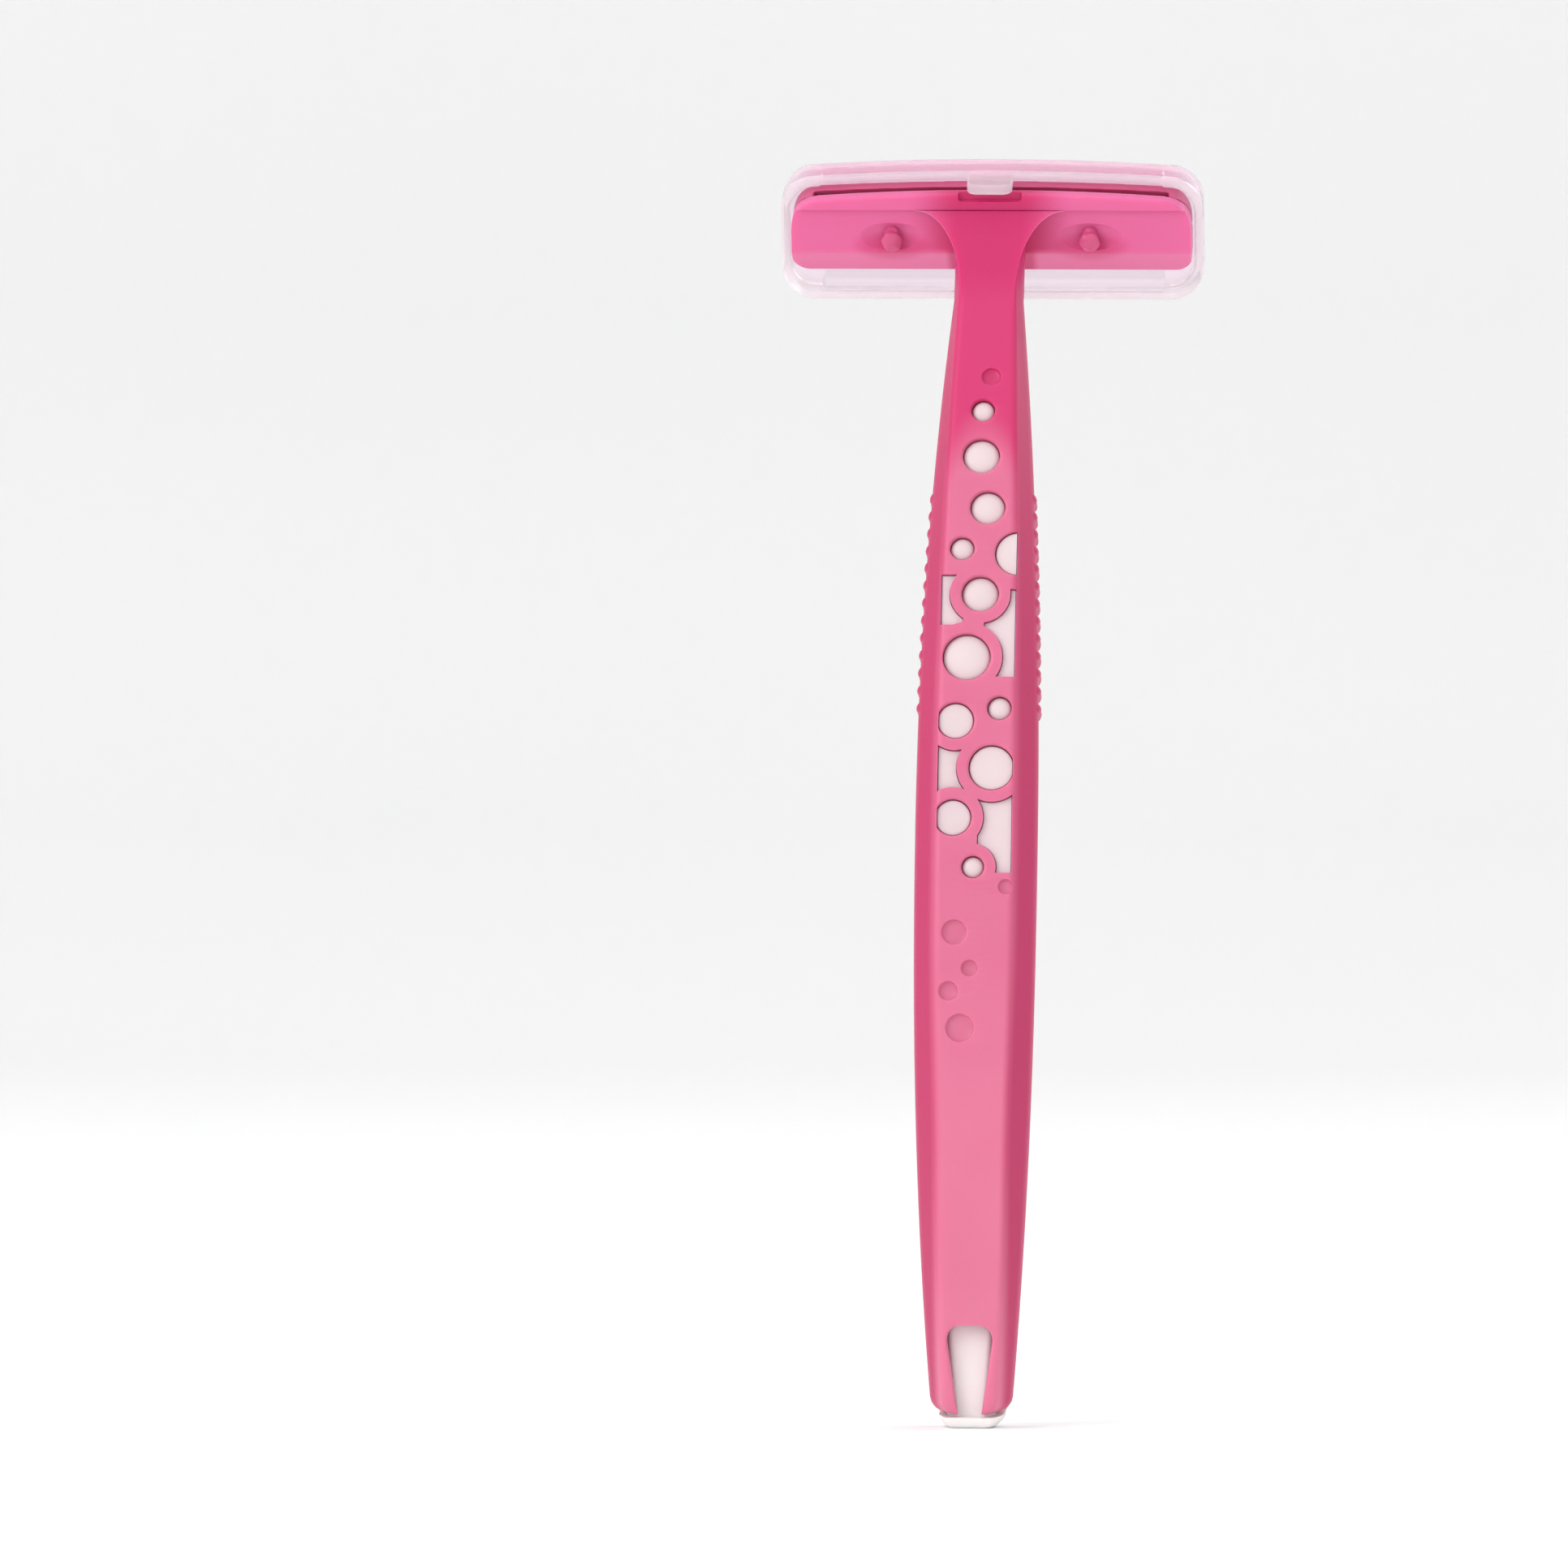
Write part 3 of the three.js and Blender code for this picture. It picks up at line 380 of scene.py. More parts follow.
def make_moulded_grain():
    inputs = [("Vector", "NodeSocketVector", None), ("Grain Scale", "NodeSocketFloat", 2200.0),
              ("Cloud Scale", "NodeSocketFloat", 90.0)]
    outputs = [("Grain", "NodeSocketFloat"), ("Clouds", "NodeSocketFloat")]
    tree, start, end = new_group("moulded_grain", inputs, outputs)
    grain = noise(tree, start.outputs["Vector"], start.outputs["Grain Scale"], 3.0)
    clouds = noise(tree, start.outputs["Vector"], start.outputs["Cloud Scale"], 1.0)
    tree.links.new(grain, end.inputs["Grain"])
    tree.links.new(clouds, end.inputs["Clouds"])
    return tree


def make_bow_place():
    inputs = [("Vector", "NodeSocketVector", None)]
    outputs = [("Across", "NodeSocketFloat"), ("Station", "NodeSocketFloat"),
               ("Depth", "NodeSocketFloat"), ("Height", "NodeSocketFloat")]
    tree, start, end = new_group("bow_place", inputs, outputs)
    split = tree.nodes.new("ShaderNodeSeparateXYZ")
    tree.links.new(start.outputs["Vector"], split.inputs[0])
    y = maths(tree, "ADD", split.outputs["Y"], BOW_RADIUS * math.cos(TAIL_LEAN))
    z = maths(tree, "SUBTRACT", split.outputs["Z"], BOW_RADIUS * math.sin(TAIL_LEAN))
    squared = maths(tree, "ADD", maths(tree, "MULTIPLY", y, y), maths(tree, "MULTIPLY", z, z))
    depth = maths(tree, "SUBTRACT", maths(tree, "SQRT", squared), BOW_RADIUS)
    lean = maths(tree, "ADD", maths(tree, "ARCTAN2", z, y), TAIL_LEAN)
    tree.links.new(maths(tree, "MULTIPLY", split.outputs["X"], 1 / MM), end.inputs["Across"])
    tree.links.new(maths(tree, "MULTIPLY", lean, BOW_RADIUS / MM), end.inputs["Station"])
    tree.links.new(maths(tree, "MULTIPLY", depth, 1 / MM), end.inputs["Depth"])
    tree.links.new(maths(tree, "MULTIPLY", split.outputs["Z"], 1 / MM), end.inputs["Height"])
    return tree


def make_ground_lines():
    inputs = [("Vector", "NodeSocketVector", None), ("Across Scale", "NodeSocketFloat", 9000.0),
              ("Along Scale", "NodeSocketFloat", 300.0)]
    tree, start, end = new_group("ground_lines", inputs, [("Lines", "NodeSocketFloat")])
    split = tree.nodes.new("ShaderNodeSeparateXYZ")
    tree.links.new(start.outputs["Vector"], split.inputs[0])
    joined = tree.nodes.new("ShaderNodeCombineXYZ")
    wide = maths(tree, "MULTIPLY", split.outputs["X"], start.outputs["Across Scale"])
    long = maths(tree, "MULTIPLY", split.outputs["Z"], start.outputs["Along Scale"])
    tree.links.new(wide, joined.inputs[0])
    tree.links.new(long, joined.inputs[2])
    tree.links.new(noise(tree, joined.outputs[0], 1.0), end.inputs["Lines"])
    return tree


moulded_grain = make_moulded_grain()
bow_place = make_bow_place()
ground_lines = make_ground_lines()
print("groups:", [g.name for g in bpy.data.node_groups])

# %% [markdown]
# ## The finishes
# Every finish is one Principled shader. Its even values sit on the shader's own sockets, and
# the patterns feed only colour, roughness and bump. The pink is tinted and lets light in, so
# it gets some subsurface; it looks paler where the white core lies close behind it, and deeper
# in the thick neck and along the flanks. Painting that by place is far quicker than tracing
# real light through two mouldings, and it survives an export.

# %% Finish helpers
def new_finish(name, **even):
    material = bpy.data.materials.new(name)
    material.use_nodes = True
    tree = material.node_tree
    shader = tree.nodes["Principled BSDF"]
    for label, value in even.items():
        shader.inputs[label.replace("_", " ")].default_value = value
    place = tree.nodes.new("ShaderNodeTexCoord").outputs["Object"]
    return material, tree, shader, place


def use_group(tree, group, vector, **values):
    node = tree.nodes.new("ShaderNodeGroup")
    node.node_tree = group
    tree.links.new(vector, node.inputs["Vector"])
    for label, value in values.items():
        node.inputs[label.replace("_", " ")].default_value = value
    return node.outputs


def add_bump(tree, shader, height, strength, distance):
    node = tree.nodes.new("ShaderNodeBump")
    node.inputs["Strength"].default_value = strength
    node.inputs["Distance"].default_value = distance
    tree.links.new(height, node.inputs["Height"])
    tree.links.new(node.outputs["Normal"], shader.inputs["Normal"])


def roughness_between(tree, shader, value, low, high):
    span = maths(tree, "MULTIPLY", value, high - low)
    tree.links.new(maths(tree, "ADD", span, low), shader.inputs["Roughness"])


# %% [markdown]
# ## The pink
# The shell is tinted plastic over a white core, so its pink is palest on the flat of the back,
# deeper on the flanks and deepest in the solid neck. Each tone has its own place on the bow.
# The head gets a paler lower lip, which is painted light on its lower slope, and a painted shade round each
# pin, in its dish.

# %% Pink shell finish
POST_SPACING = 20.5 * MM
PIN_HEIGHT = 121.0
PINK_DEEP = linear(199, 42, 105)
PINK_NECK = linear(205, 54, 112)
PINK_OVER_CORE = linear(214, 112, 146)
PINK_LOW = linear(220, 120, 152)
PINK_FLANK = linear(188, 36, 96)
PINK_HEAD = linear(222, 102, 155)
PINK_LIP_LIT = linear(225, 110, 158)
# Where each colour starts and ends, in mm along, across and above the floor.
CORE_ARCH = 0.32
CORE_FADE = 7
BACK_FROM, BACK_TO = 0.8, 2.6
LOW_FROM, LOW_TO = 52.0, 26.0
TAPER_FROM, TAPER_TO = 62.0, 118.0
FLAT_HALF, FLAT_LESS_LOW, FLAT_LESS_NECK = 3.9, 0.6, 1.0
HEAD_FROM, HEAD_TO = 119.0, 114.0
THROAT_FROM, THROAT_TO = 9.0, 3.0
LIP_FROM_UP, LIP_TO_UP = 120.9, 119.9
LIP_FROM_ACROSS, LIP_TO_ACROSS = 4.0, 5.0
PIN_SHADE_ACROSS, PIN_SHADE_UP, PIN_SHADE = 4.6, 1.7, 0.6
CLOUD_SHADE = 0.35


def make_shell_pink():
    material, tree, shader, place = new_finish(
        "shell_pink", Subsurface_Weight=0.45, Subsurface_Scale=0.0018, Coat_Weight=0.05,
        Coat_Roughness=0.25, IOR=1.49, Specular_IOR_Level=0.32)
    shader.inputs["Subsurface Radius"].default_value = (1.0, 0.35, 0.5)
    grain = use_group(tree, moulded_grain, place)
    spot = use_group(tree, bow_place, place)
    across = maths(tree, "ABSOLUTE", spot["Across"])
    # The core's rounded top end shows as an arch below the neck.
    arch = maths(tree, "MULTIPLY", maths(tree, "POWER", across, 2.0), CORE_ARCH)
    core_end = maths(tree, "ADD", spot["Station"], arch)
    over_core = smooth_step(tree, core_end, PANEL_TOP / MM + 0.3, PANEL_TOP / MM - CORE_FADE)
    on_back = smooth_step(tree, spot["Depth"], BACK_FROM, BACK_TO)
    over_core = maths(tree, "MULTIPLY", over_core, on_back)
    low = smooth_step(tree, spot["Station"], LOW_FROM, LOW_TO)
    near_neck = smooth_step(tree, spot["Station"], TAPER_FROM, TAPER_TO)
    flat_half = maths(tree, "SUBTRACT", FLAT_HALF, maths(tree, "MULTIPLY", low, FLAT_LESS_LOW))
    flat_half = maths(tree, "SUBTRACT", flat_half, maths(tree, "MULTIPLY", near_neck, FLAT_LESS_NECK))
    flank = smooth_step(tree, maths(tree, "SUBTRACT", across, flat_half), -0.5, 0.9)
    below_head = smooth_step(tree, spot["Height"], HEAD_FROM, HEAD_TO)
    in_neck = smooth_step(tree, across, THROAT_FROM, THROAT_TO)
    colour = mix(tree, in_neck, PINK_HEAD, PINK_DEEP)
    # Painted light: the lower lip is painted paler, for the light that its lower slope catches.
    lip = smooth_step(tree, spot["Height"], LIP_FROM_UP, LIP_TO_UP)
    lip = maths(tree, "MULTIPLY", lip, smooth_step(tree, across, LIP_FROM_ACROSS, LIP_TO_ACROSS))
    colour = mix(tree, lip, colour, PINK_LIP_LIT)
    # Painted shade round each pin: the area over its dish is darkened towards the deep pink.
    from_pin = maths(tree, "SUBTRACT", across, POST_SPACING / 2 / MM)
    pin_across = maths(tree, "DIVIDE", from_pin, PIN_SHADE_ACROSS)
    above_pin = maths(tree, "SUBTRACT", spot["Height"], PIN_HEIGHT)
    pin_up = maths(tree, "DIVIDE", above_pin, PIN_SHADE_UP)
    pin_far = maths(tree, "ADD", maths(tree, "MULTIPLY", pin_across, pin_across),
                    maths(tree, "MULTIPLY", pin_up, pin_up))
    pin_shade = maths(tree, "MULTIPLY", smooth_step(tree, pin_far, 1.0, 0.1), PIN_SHADE)
    colour = mix(tree, pin_shade, colour, PINK_DEEP)
    handle = mix(tree, over_core, PINK_NECK, mix(tree, low, PINK_OVER_CORE, PINK_LOW))
    handle = mix(tree, flank, handle, PINK_FLANK)
    colour = mix(tree, below_head, colour, handle)
    shade = maths(tree, "MULTIPLY", maths(tree, "SUBTRACT", grain["Clouds"], 0.5), CLOUD_SHADE)
    shade = maths(tree, "ABSOLUTE", shade)
    colour = mix(tree, shade, colour, PINK_DEEP)
    tree.links.new(colour, shader.inputs["Base Color"])
    roughness_between(tree, shader, grain["Grain"], 0.34, 0.46)
    add_bump(tree, shader, grain["Grain"], 0.12, 0.0001)
    return material


shell_pink = make_shell_pink()

# %% [markdown]
# ## White, cap pink and spacer grey
# The core is plain white plastic. Where it lies behind the shell it picks up a little pink and
# less light, so it is painted rosier there. The cap is the same pink as the head, and the spacer
# between the blades is a dull dark strip.

# %% White core, cap and spacer finishes
# Where the core disappears into the shell, in mm along it and through it.
HIDDEN_FROM, HIDDEN_TO = 3.0, 14.0
BEHIND_FROM, BEHIND_TO = -3.0, 1.0


def make_core_white():
    material, tree, shader, place = new_finish(
        "core_white", Subsurface_Weight=0.2, Subsurface_Scale=0.001, IOR=1.49)
    grain = use_group(tree, moulded_grain, place, Cloud_Scale=140.0)
    spot = use_group(tree, bow_place, place)
    hidden = smooth_step(tree, spot["Station"], HIDDEN_FROM, HIDDEN_TO)
    behind = maths(tree, "MULTIPLY", hidden, smooth_step(tree, spot["Depth"], BEHIND_FROM, BEHIND_TO))
    white = mix(tree, grain["Clouds"], linear(249, 246, 244), linear(244, 240, 238))
    rosy = mix(tree, grain["Clouds"], linear(226, 210, 212), linear(216, 198, 202))
    tree.links.new(mix(tree, behind, white, rosy), shader.inputs["Base Color"])
    roughness_between(tree, shader, grain["Grain"], 0.38, 0.5)
    add_bump(tree, shader, grain["Grain"], 0.1, 0.0001)
    return material


def make_cap_pink():
    material, tree, shader, place = new_finish(
        "cap_pink", Subsurface_Weight=0.25, Subsurface_Scale=0.0012, IOR=1.49)
    grain = use_group(tree, moulded_grain, place, Cloud_Scale=160.0)
    colour = mix(tree, grain["Clouds"], linear(208, 88, 134), linear(196, 68, 118))
    tree.links.new(colour, shader.inputs["Base Color"])
    roughness_between(tree, shader, grain["Grain"], 0.34, 0.5)
    add_bump(tree, shader, grain["Grain"], 0.15, 0.0001)
    return material


def make_spacer_dark():
    material, tree, shader, place = new_finish("spacer_dark")
    grain = use_group(tree, moulded_grain, place, Cloud_Scale=300.0)
    colour = mix(tree, grain["Clouds"], linear(74, 62, 66), linear(52, 44, 48))
    tree.links.new(colour, shader.inputs["Base Color"])
    roughness_between(tree, shader, grain["Grain"], 0.5, 0.7)
    add_bump(tree, shader, grain["Grain"], 0.2, 0.0001)
    return material


core_white = make_core_white()
cap_pink = make_cap_pink()
spacer_dark = make_spacer_dark()

# %% [markdown]
# ## Steel
# Blades are ground along one direction, which leaves fine lines. The same lines, brighter and
# shorter, suit the stamped guard strip. Lines drive both the colour and the roughness.

# %% Steel finishes
def make_steel(name, bright, dark, low, high):
    material, tree, shader, place = new_finish(name, Metallic=1.0)
    lines = use_group(tree, ground_lines, place)["Lines"]
    tree.links.new(mix(tree, lines, bright, dark), shader.inputs["Base Color"])
    roughness_between(tree, shader, lines, low, high)
    add_bump(tree, shader, lines, 0.15, 0.00005)
    return material


blade_steel = make_steel("blade_steel", linear(214, 216, 219), linear(176, 179, 184), 0.2, 0.34)
comb_steel = make_steel("comb_steel", linear(236, 234, 232), linear(208, 206, 206), 0.18, 0.32)

# %% [markdown]
# ## Clear plastic
# The cover lets nearly everything through. A low index and part alpha keep its thick edges from
# going black when light is caught inside, and a little lavender gives it body. Its rim, lips and
# tongue are duller, because that is where the mould halves meet. Near the top the pink of the
# head seen through it is painted into its colour.

# %% Cover finishes
# Where the head's pink seen through the wall is painted in, in mm above the floor and across.
GLOW_FROM_UP, GLOW_TO_UP = 124.5, 127.0
GLOW_FROM_ACROSS, GLOW_TO_ACROSS = 21.5, 17.0
GLOW = 0.8


def make_cover_clear():
    material, tree, shader, place = new_finish(
        "cover_clear", Transmission_Weight=1.0, IOR=1.28, Alpha=0.62)
    grain = use_group(tree, moulded_grain, place, Grain_Scale=900.0, Cloud_Scale=60.0)
    colour = mix(tree, grain["Clouds"], linear(238, 214, 230), linear(232, 204, 222))
    # Painted light: the pink head seen through the top wall is painted in, fading towards the rounded ends.
    spot = use_group(tree, bow_place, place)
    across = maths(tree, "ABSOLUTE", spot["Across"])
    glow = maths(tree, "MULTIPLY", smooth_step(tree, spot["Height"], GLOW_FROM_UP, GLOW_TO_UP),
                 smooth_step(tree, across, GLOW_FROM_ACROSS, GLOW_TO_ACROSS))
    colour = mix(tree, maths(tree, "MULTIPLY", glow, GLOW), colour, linear(240, 150, 192))
    tree.links.new(colour, shader.inputs["Base Color"])
    roughness_between(tree, shader, grain["Clouds"], 0.03, 0.09)
    add_bump(tree, shader, grain["Clouds"], 0.05, 0.0002)
    return material


def make_cover_frosted():
    material, tree, shader, place = new_finish(
        "cover_frosted", Transmission_Weight=0.7, IOR=1.3, Alpha=0.8)
    grain = use_group(tree, moulded_grain, place, Grain_Scale=1600.0, Cloud_Scale=220.0)
    colour = mix(tree, grain["Clouds"], linear(252, 238, 245), linear(248, 226, 237))
    tree.links.new(colour, shader.inputs["Base Color"])
    roughness_between(tree, shader, grain["Grain"], 0.12, 0.25)
    add_bump(tree, shader, grain["Clouds"], 0.06, 0.0001)
    return material


cover_clear = make_cover_clear()
cover_frosted = make_cover_frosted()
print("finishes:", [m.name for m in (shell_pink, core_white, cap_pink, cover_clear, cover_frosted)])

# %% [markdown]
# ## Rows and runs of small parts
# The grip ribs follow the handle's widest line, and the guard strip's teeth and the guard's
# nubs stand in straight rows. Two small Geometry Nodes trees repeat a given part: one puts it
# at even steps along a curve and turns it with the curve, the other sets it in a row. Their
# counts, pitch and material are named inputs, so a row can be changed without touching the tree.

# %% Geometry Nodes trees
def geometry_tree(name, inputs):
    tree = bpy.data.node_groups.new(name, "GeometryNodeTree")
    tree.interface.new_socket("Geometry", in_out="OUTPUT", socket_type="NodeSocketGeometry")
    tree.interface.new_socket("Geometry", in_out="INPUT", socket_type="NodeSocketGeometry")
    for label, kind in inputs:
        tree.interface.new_socket(label, in_out="INPUT", socket_type=kind)
    return tree, tree.nodes.new("NodeGroupInput"), tree.nodes.new("NodeGroupOutput")


def finish_tree(tree, instances, start, end):
    real = tree.nodes.new("GeometryNodeRealizeInstances")
    paint = tree.nodes.new("GeometryNodeSetMaterial")
    tree.links.new(instances, real.inputs[0])
    tree.links.new(real.outputs[0], paint.inputs["Geometry"])
    tree.links.new(start.outputs["Material"], paint.inputs["Material"])
    tree.links.new(paint.outputs[0], end.inputs[0])


def make_parts_on_path():
    inputs = [("Path", "NodeSocketObject"), ("Count", "NodeSocketInt"),
              ("Material", "NodeSocketMaterial")]
    tree, start, end = geometry_tree("parts_on_path", inputs)
    path = tree.nodes.new("GeometryNodeObjectInfo")
    even = tree.nodes.new("GeometryNodeResampleCurve")
    tangent = tree.nodes.new("GeometryNodeInputTangent")
    turn = tree.nodes.new("FunctionNodeAlignRotationToVector")
    turn.axis = "Z"
    turn.pivot_axis = "X"
    place = tree.nodes.new("GeometryNodeInstanceOnPoints")
    links = tree.links
    links.new(start.outputs["Path"], path.inputs["Object"])
    links.new(path.outputs["Geometry"], even.inputs["Curve"])
    links.new(start.outputs["Count"], even.inputs["Count"])
    links.new(tangent.outputs[0], turn.inputs["Vector"])
    links.new(even.outputs[0], place.inputs["Points"])
    links.new(start.outputs["Geometry"], place.inputs["Instance"])
    links.new(turn.outputs[0], place.inputs["Rotation"])
    finish_tree(tree, place.outputs[0], start, end)
    return tree


def make_row_of_parts():
    inputs = [("Count", "NodeSocketInt"), ("Pitch", "NodeSocketFloat"),
              ("Material", "NodeSocketMaterial")]
    tree, start, end = geometry_tree("row_of_parts", inputs)
    index = tree.nodes.new("GeometryNodeInputIndex")
    line = tree.nodes.new("GeometryNodeMeshLine")
    less = maths(tree, "SUBTRACT", start.outputs["Count"], 1.0)
    middle = maths(tree, "MULTIPLY", less, 0.5)
    step = maths(tree, "SUBTRACT", index.outputs[0], middle)
    across = maths(tree, "MULTIPLY", step, start.outputs["Pitch"])
    spot = tree.nodes.new("ShaderNodeCombineXYZ")
    move = tree.nodes.new("GeometryNodeSetPosition")
    place = tree.nodes.new("GeometryNodeInstanceOnPoints")
    links = tree.links
    links.new(start.outputs["Count"], line.inputs["Count"])
    links.new(across, spot.inputs[0])
    links.new(line.outputs[0], move.inputs["Geometry"])
    links.new(spot.outputs[0], move.inputs["Position"])
    links.new(move.outputs[0], place.inputs["Points"])
    links.new(start.outputs["Geometry"], place.inputs["Instance"])
    finish_tree(tree, place.outputs[0], start, end)
    return tree


def grow(piece, tree, **values):
    """Runs a tree on a piece with the given inputs and keeps the result as a plain mesh."""
    step = piece.modifiers.new(tree.name, "NODES")
    step.node_group = tree
    for item in tree.interface.items_tree:
        label = item.name.replace(" ", "_")
        if item.in_out == "INPUT" and label in values:
            step[item.identifier] = values[label]
    name = piece.name
    evaluated = piece.evaluated_get(bpy.context.evaluated_depsgraph_get())
    mesh = bpy.data.meshes.new_from_object(evaluated)
    bpy.data.objects.remove(piece)
    return add_object(name, mesh)


parts_on_path = make_parts_on_path()
row_of_parts = make_row_of_parts()

# %% [markdown]
# ## The pink shell
# The shell is a channel that is open towards the front. The outer bar is lofted along the bow,
# and a narrower bar is taken out of it. Each bubble is cut by a turned plug that flares near
# the surface, which leaves a rounded rim as a polished core pin does in a real mould. The
# windows lie between the bubbles and stop short of them, so every bubble keeps its ring.

# %% Shell body
RIB_COUNT = 13
RIB_PITCH = 1.86 * MM
RIB_DROP = 9.6 * MM
RIB_HEIGHT = 0.28 * MM
RIB_LENGTH = 1.0 * MM
RIB_SUNK = 0.8 * MM
RIB_BELOW = 0.06 * MM
RIB_FRONT_SHARE = 0.85
RIB_BACK_SHARE = 0.16
SHELL_EASE = (0.3 * MM, 1.2 * MM, 0.55 * MM)
TAIL_CORNER = 1.5 * MM


def shell_outline(station):
    front, ridge, back, front_depth, back_depth = section(station)
    draw = end_draw(station - SHELL_END, TAIL_CORNER)
    deep = 0.4 * draw
    return six_sided(front - draw, ridge - draw, back - 0.7 * draw, front_depth - deep,
                     back_depth - deep, SHELL_EASE)


tail_places = SHELL_END + TAIL_CORNER * np.array([0, 0.03, 0.1, 0.22, 0.4, 0.65])
bar_places = stations(SHELL_END + TAIL_CORNER, HANDLE_LENGTH + 6 * MM)
shell = bowed("pink_shell", [*tail_places, *bar_places], shell_outline)


def one_rib(side):
    """A rib that wraps one flank: its crest stands proud and its ends sink into the side."""
    middle = PANEL_TOP - RIB_DROP - (RIB_COUNT - 1) / 2 * RIB_PITCH
    outline = shell_outline(middle)
    _, ridge, _, front_depth, back_depth = section(middle)
    flank = [p for p in outline if p[0] > 0 and -0.9 * front_depth < p[1] < 0.7 * back_depth]
    flank = sorted(flank, key=lambda p: p[1])
    depths = np.linspace(-RIB_FRONT_SHARE * front_depth, RIB_BACK_SHARE * back_depth, 19)
    widths = np.interp(depths, [p[1] for p in flank], [p[0] for p in flank])
    rings = []
    for turn in np.radians(np.linspace(-90, 90, 9)):
        rise = (RIB_HEIGHT + RIB_BELOW) * math.cos(turn) ** 1.2 - RIB_BELOW
        fade = 1 - np.abs(np.linspace(-1, 1, len(depths))) ** 4
        outer = widths - ridge + rise * fade - RIB_BELOW * (1 - fade)
        height = RIB_LENGTH / 2 * math.sin(turn)
        skin = [(side * x, d, height) for x, d in zip(outer, depths)]
        bed = [(side * (x - RIB_SUNK), d, height) for x, d in zip(outer[::-1], depths[::-1])]
        rings.append(skin + bed)
    return loft("rib", rings)


def rib_row(side):
    """Ribs along the widest line of one side."""
    first = PANEL_TOP - RIB_DROP
    curve = bpy.data.curves.new("rib_path", "CURVE")
    curve.dimensions = "3D"
    line = curve.splines.new("POLY")
    places = [first - i * RIB_PITCH for i in reversed(range(RIB_COUNT))]
    line.points.add(len(places) - 1)
    for point, station in zip(line.points, places):
        point.co = (*bow_point(station, side * section(station)[1], 0), 1)
    path = add_object("rib_path", curve)
    row = grow(one_rib(side), parts_on_path, Path=path, Count=RIB_COUNT, Material=shell_pink)
    bpy.data.objects.remove(path)
    return row


combine(shell, "UNION", rib_row(-1), rib_row(1))
print("shell bar with ribs:", len(shell.data.polygons), "faces")


# %% [markdown]
# ## What is taken out of the shell
# The shell is hollow towards the front, where the white panel closes it. The tail has a slot
# that shows the core, and the neck has a groove for the thumb. Each cutter is lofted along the
# same bow as the shell, so its walls stay even without any measuring.

# %% Channel, slot and groove cutters
def channel_outline(station):
    front, ridge, back, front_depth, back_depth = walled(section(station), SHELL_WALL)
    return six_sided(front, ridge, back, front_depth + PAST, back_depth,
                     (0.2 * MM, 0.8 * MM, 0.4 * MM))


inside_places = stations(SHELL_END - 3 * MM, PANEL_TOP + SEAM_GAP, 1.5 * MM)
channel = bowed("channel", inside_places, channel_outline)
panel_room = slab(
    "panel_room", inside_places, lambda s: GRIP[0],
    lambda s: (-section(s)[3] - PAST, -section(s)[3] + PANEL_THICKNESS + SEAM_GAP))

SLOT_TOP = 10.6 * MM
SLOT_WIDE = 5.1 * MM
SLOT_NARROW = 2.4 * MM
SLOT_CORNER = 1.7 * MM
RIM = 0.3 * MM


def slot_half(station):
    share = (station - SHELL_END) / (SLOT_TOP - SHELL_END)
    straight = (SLOT_NARROW + (SLOT_WIDE - SLOT_NARROW) * share) / 2
    return straight - end_draw(SLOT_TOP - station, SLOT_CORNER)


def tail_slot():
    """The U-shaped slot in the tail, wider towards the surface."""
    places = [-2 * MM, *stations(SHELL_END, SLOT_TOP - SLOT_CORNER)]
    places += [SLOT_TOP - SLOT_CORNER * (1 - t) for t in (0.2, 0.4, 0.6, 0.75, 0.87, 0.95, 1)]

    def outline(station):
        half = slot_half(station)
        top = section(station)[4]
        low = top - SHELL_WALL - PAST
        flare = [(half + RIM * (1 - math.cos(a)), top - RIM + RIM * math.sin(a))
                 for a in np.radians((0, 30, 60, 90))]
        side = [(half, low), *flare, (half + 1.5 * RIM, top + PAST)]
        return side + [(-x, d) for x, d in reversed(side)]
    return bowed("tail_slot", places, outline)


GROOVE_HALF = 2 * MM
GROOVE_DEPTH = 1.3 * MM
GROOVE_START = PANEL_TOP + 3.2 * MM
GROOVE_END = HANDLE_LENGTH - 5.2 * MM


def thumb_groove():
    """A spoon-shaped groove in the neck's front, round at its lower end."""
    round_part = GROOVE_START + GROOVE_HALF * (1 - np.cos(np.radians(np.arange(8, 90, 12))))
    places = [*round_part, *stations(GROOVE_START + GROOVE_HALF, GROOVE_END)]

    def outline(station):
        inside = min(1, (station - GROOVE_START) / GROOVE_HALF)
        half = GROOVE_HALF * math.sqrt(1 - (1 - inside) ** 2)
        top = -section(station)[3]
        bowl = [(half * math.sin(a), top + GROOVE_DEPTH * inside**0.5 * math.cos(a) ** 0.6)
                for a in np.radians((88, 75, 60, 40, 20, 0))]
        side = [(half * 1.1, top - PAST), *bowl]
        return side + [(-x, d) for x, d in reversed(side[:-1])]
    return bowed("thumb_groove", places, outline)


combine(shell, "DIFFERENCE", channel, panel_room)
print("shell channel:", len(shell.data.polygons), "faces")

# %% [markdown]
# ## Bubbles and windows
# The bubbles are round holes and shallow dents of several sizes. The windows fill the room
# between them. Their places follow no rule, so they are listed one by one, from the top of the
# front panel down.

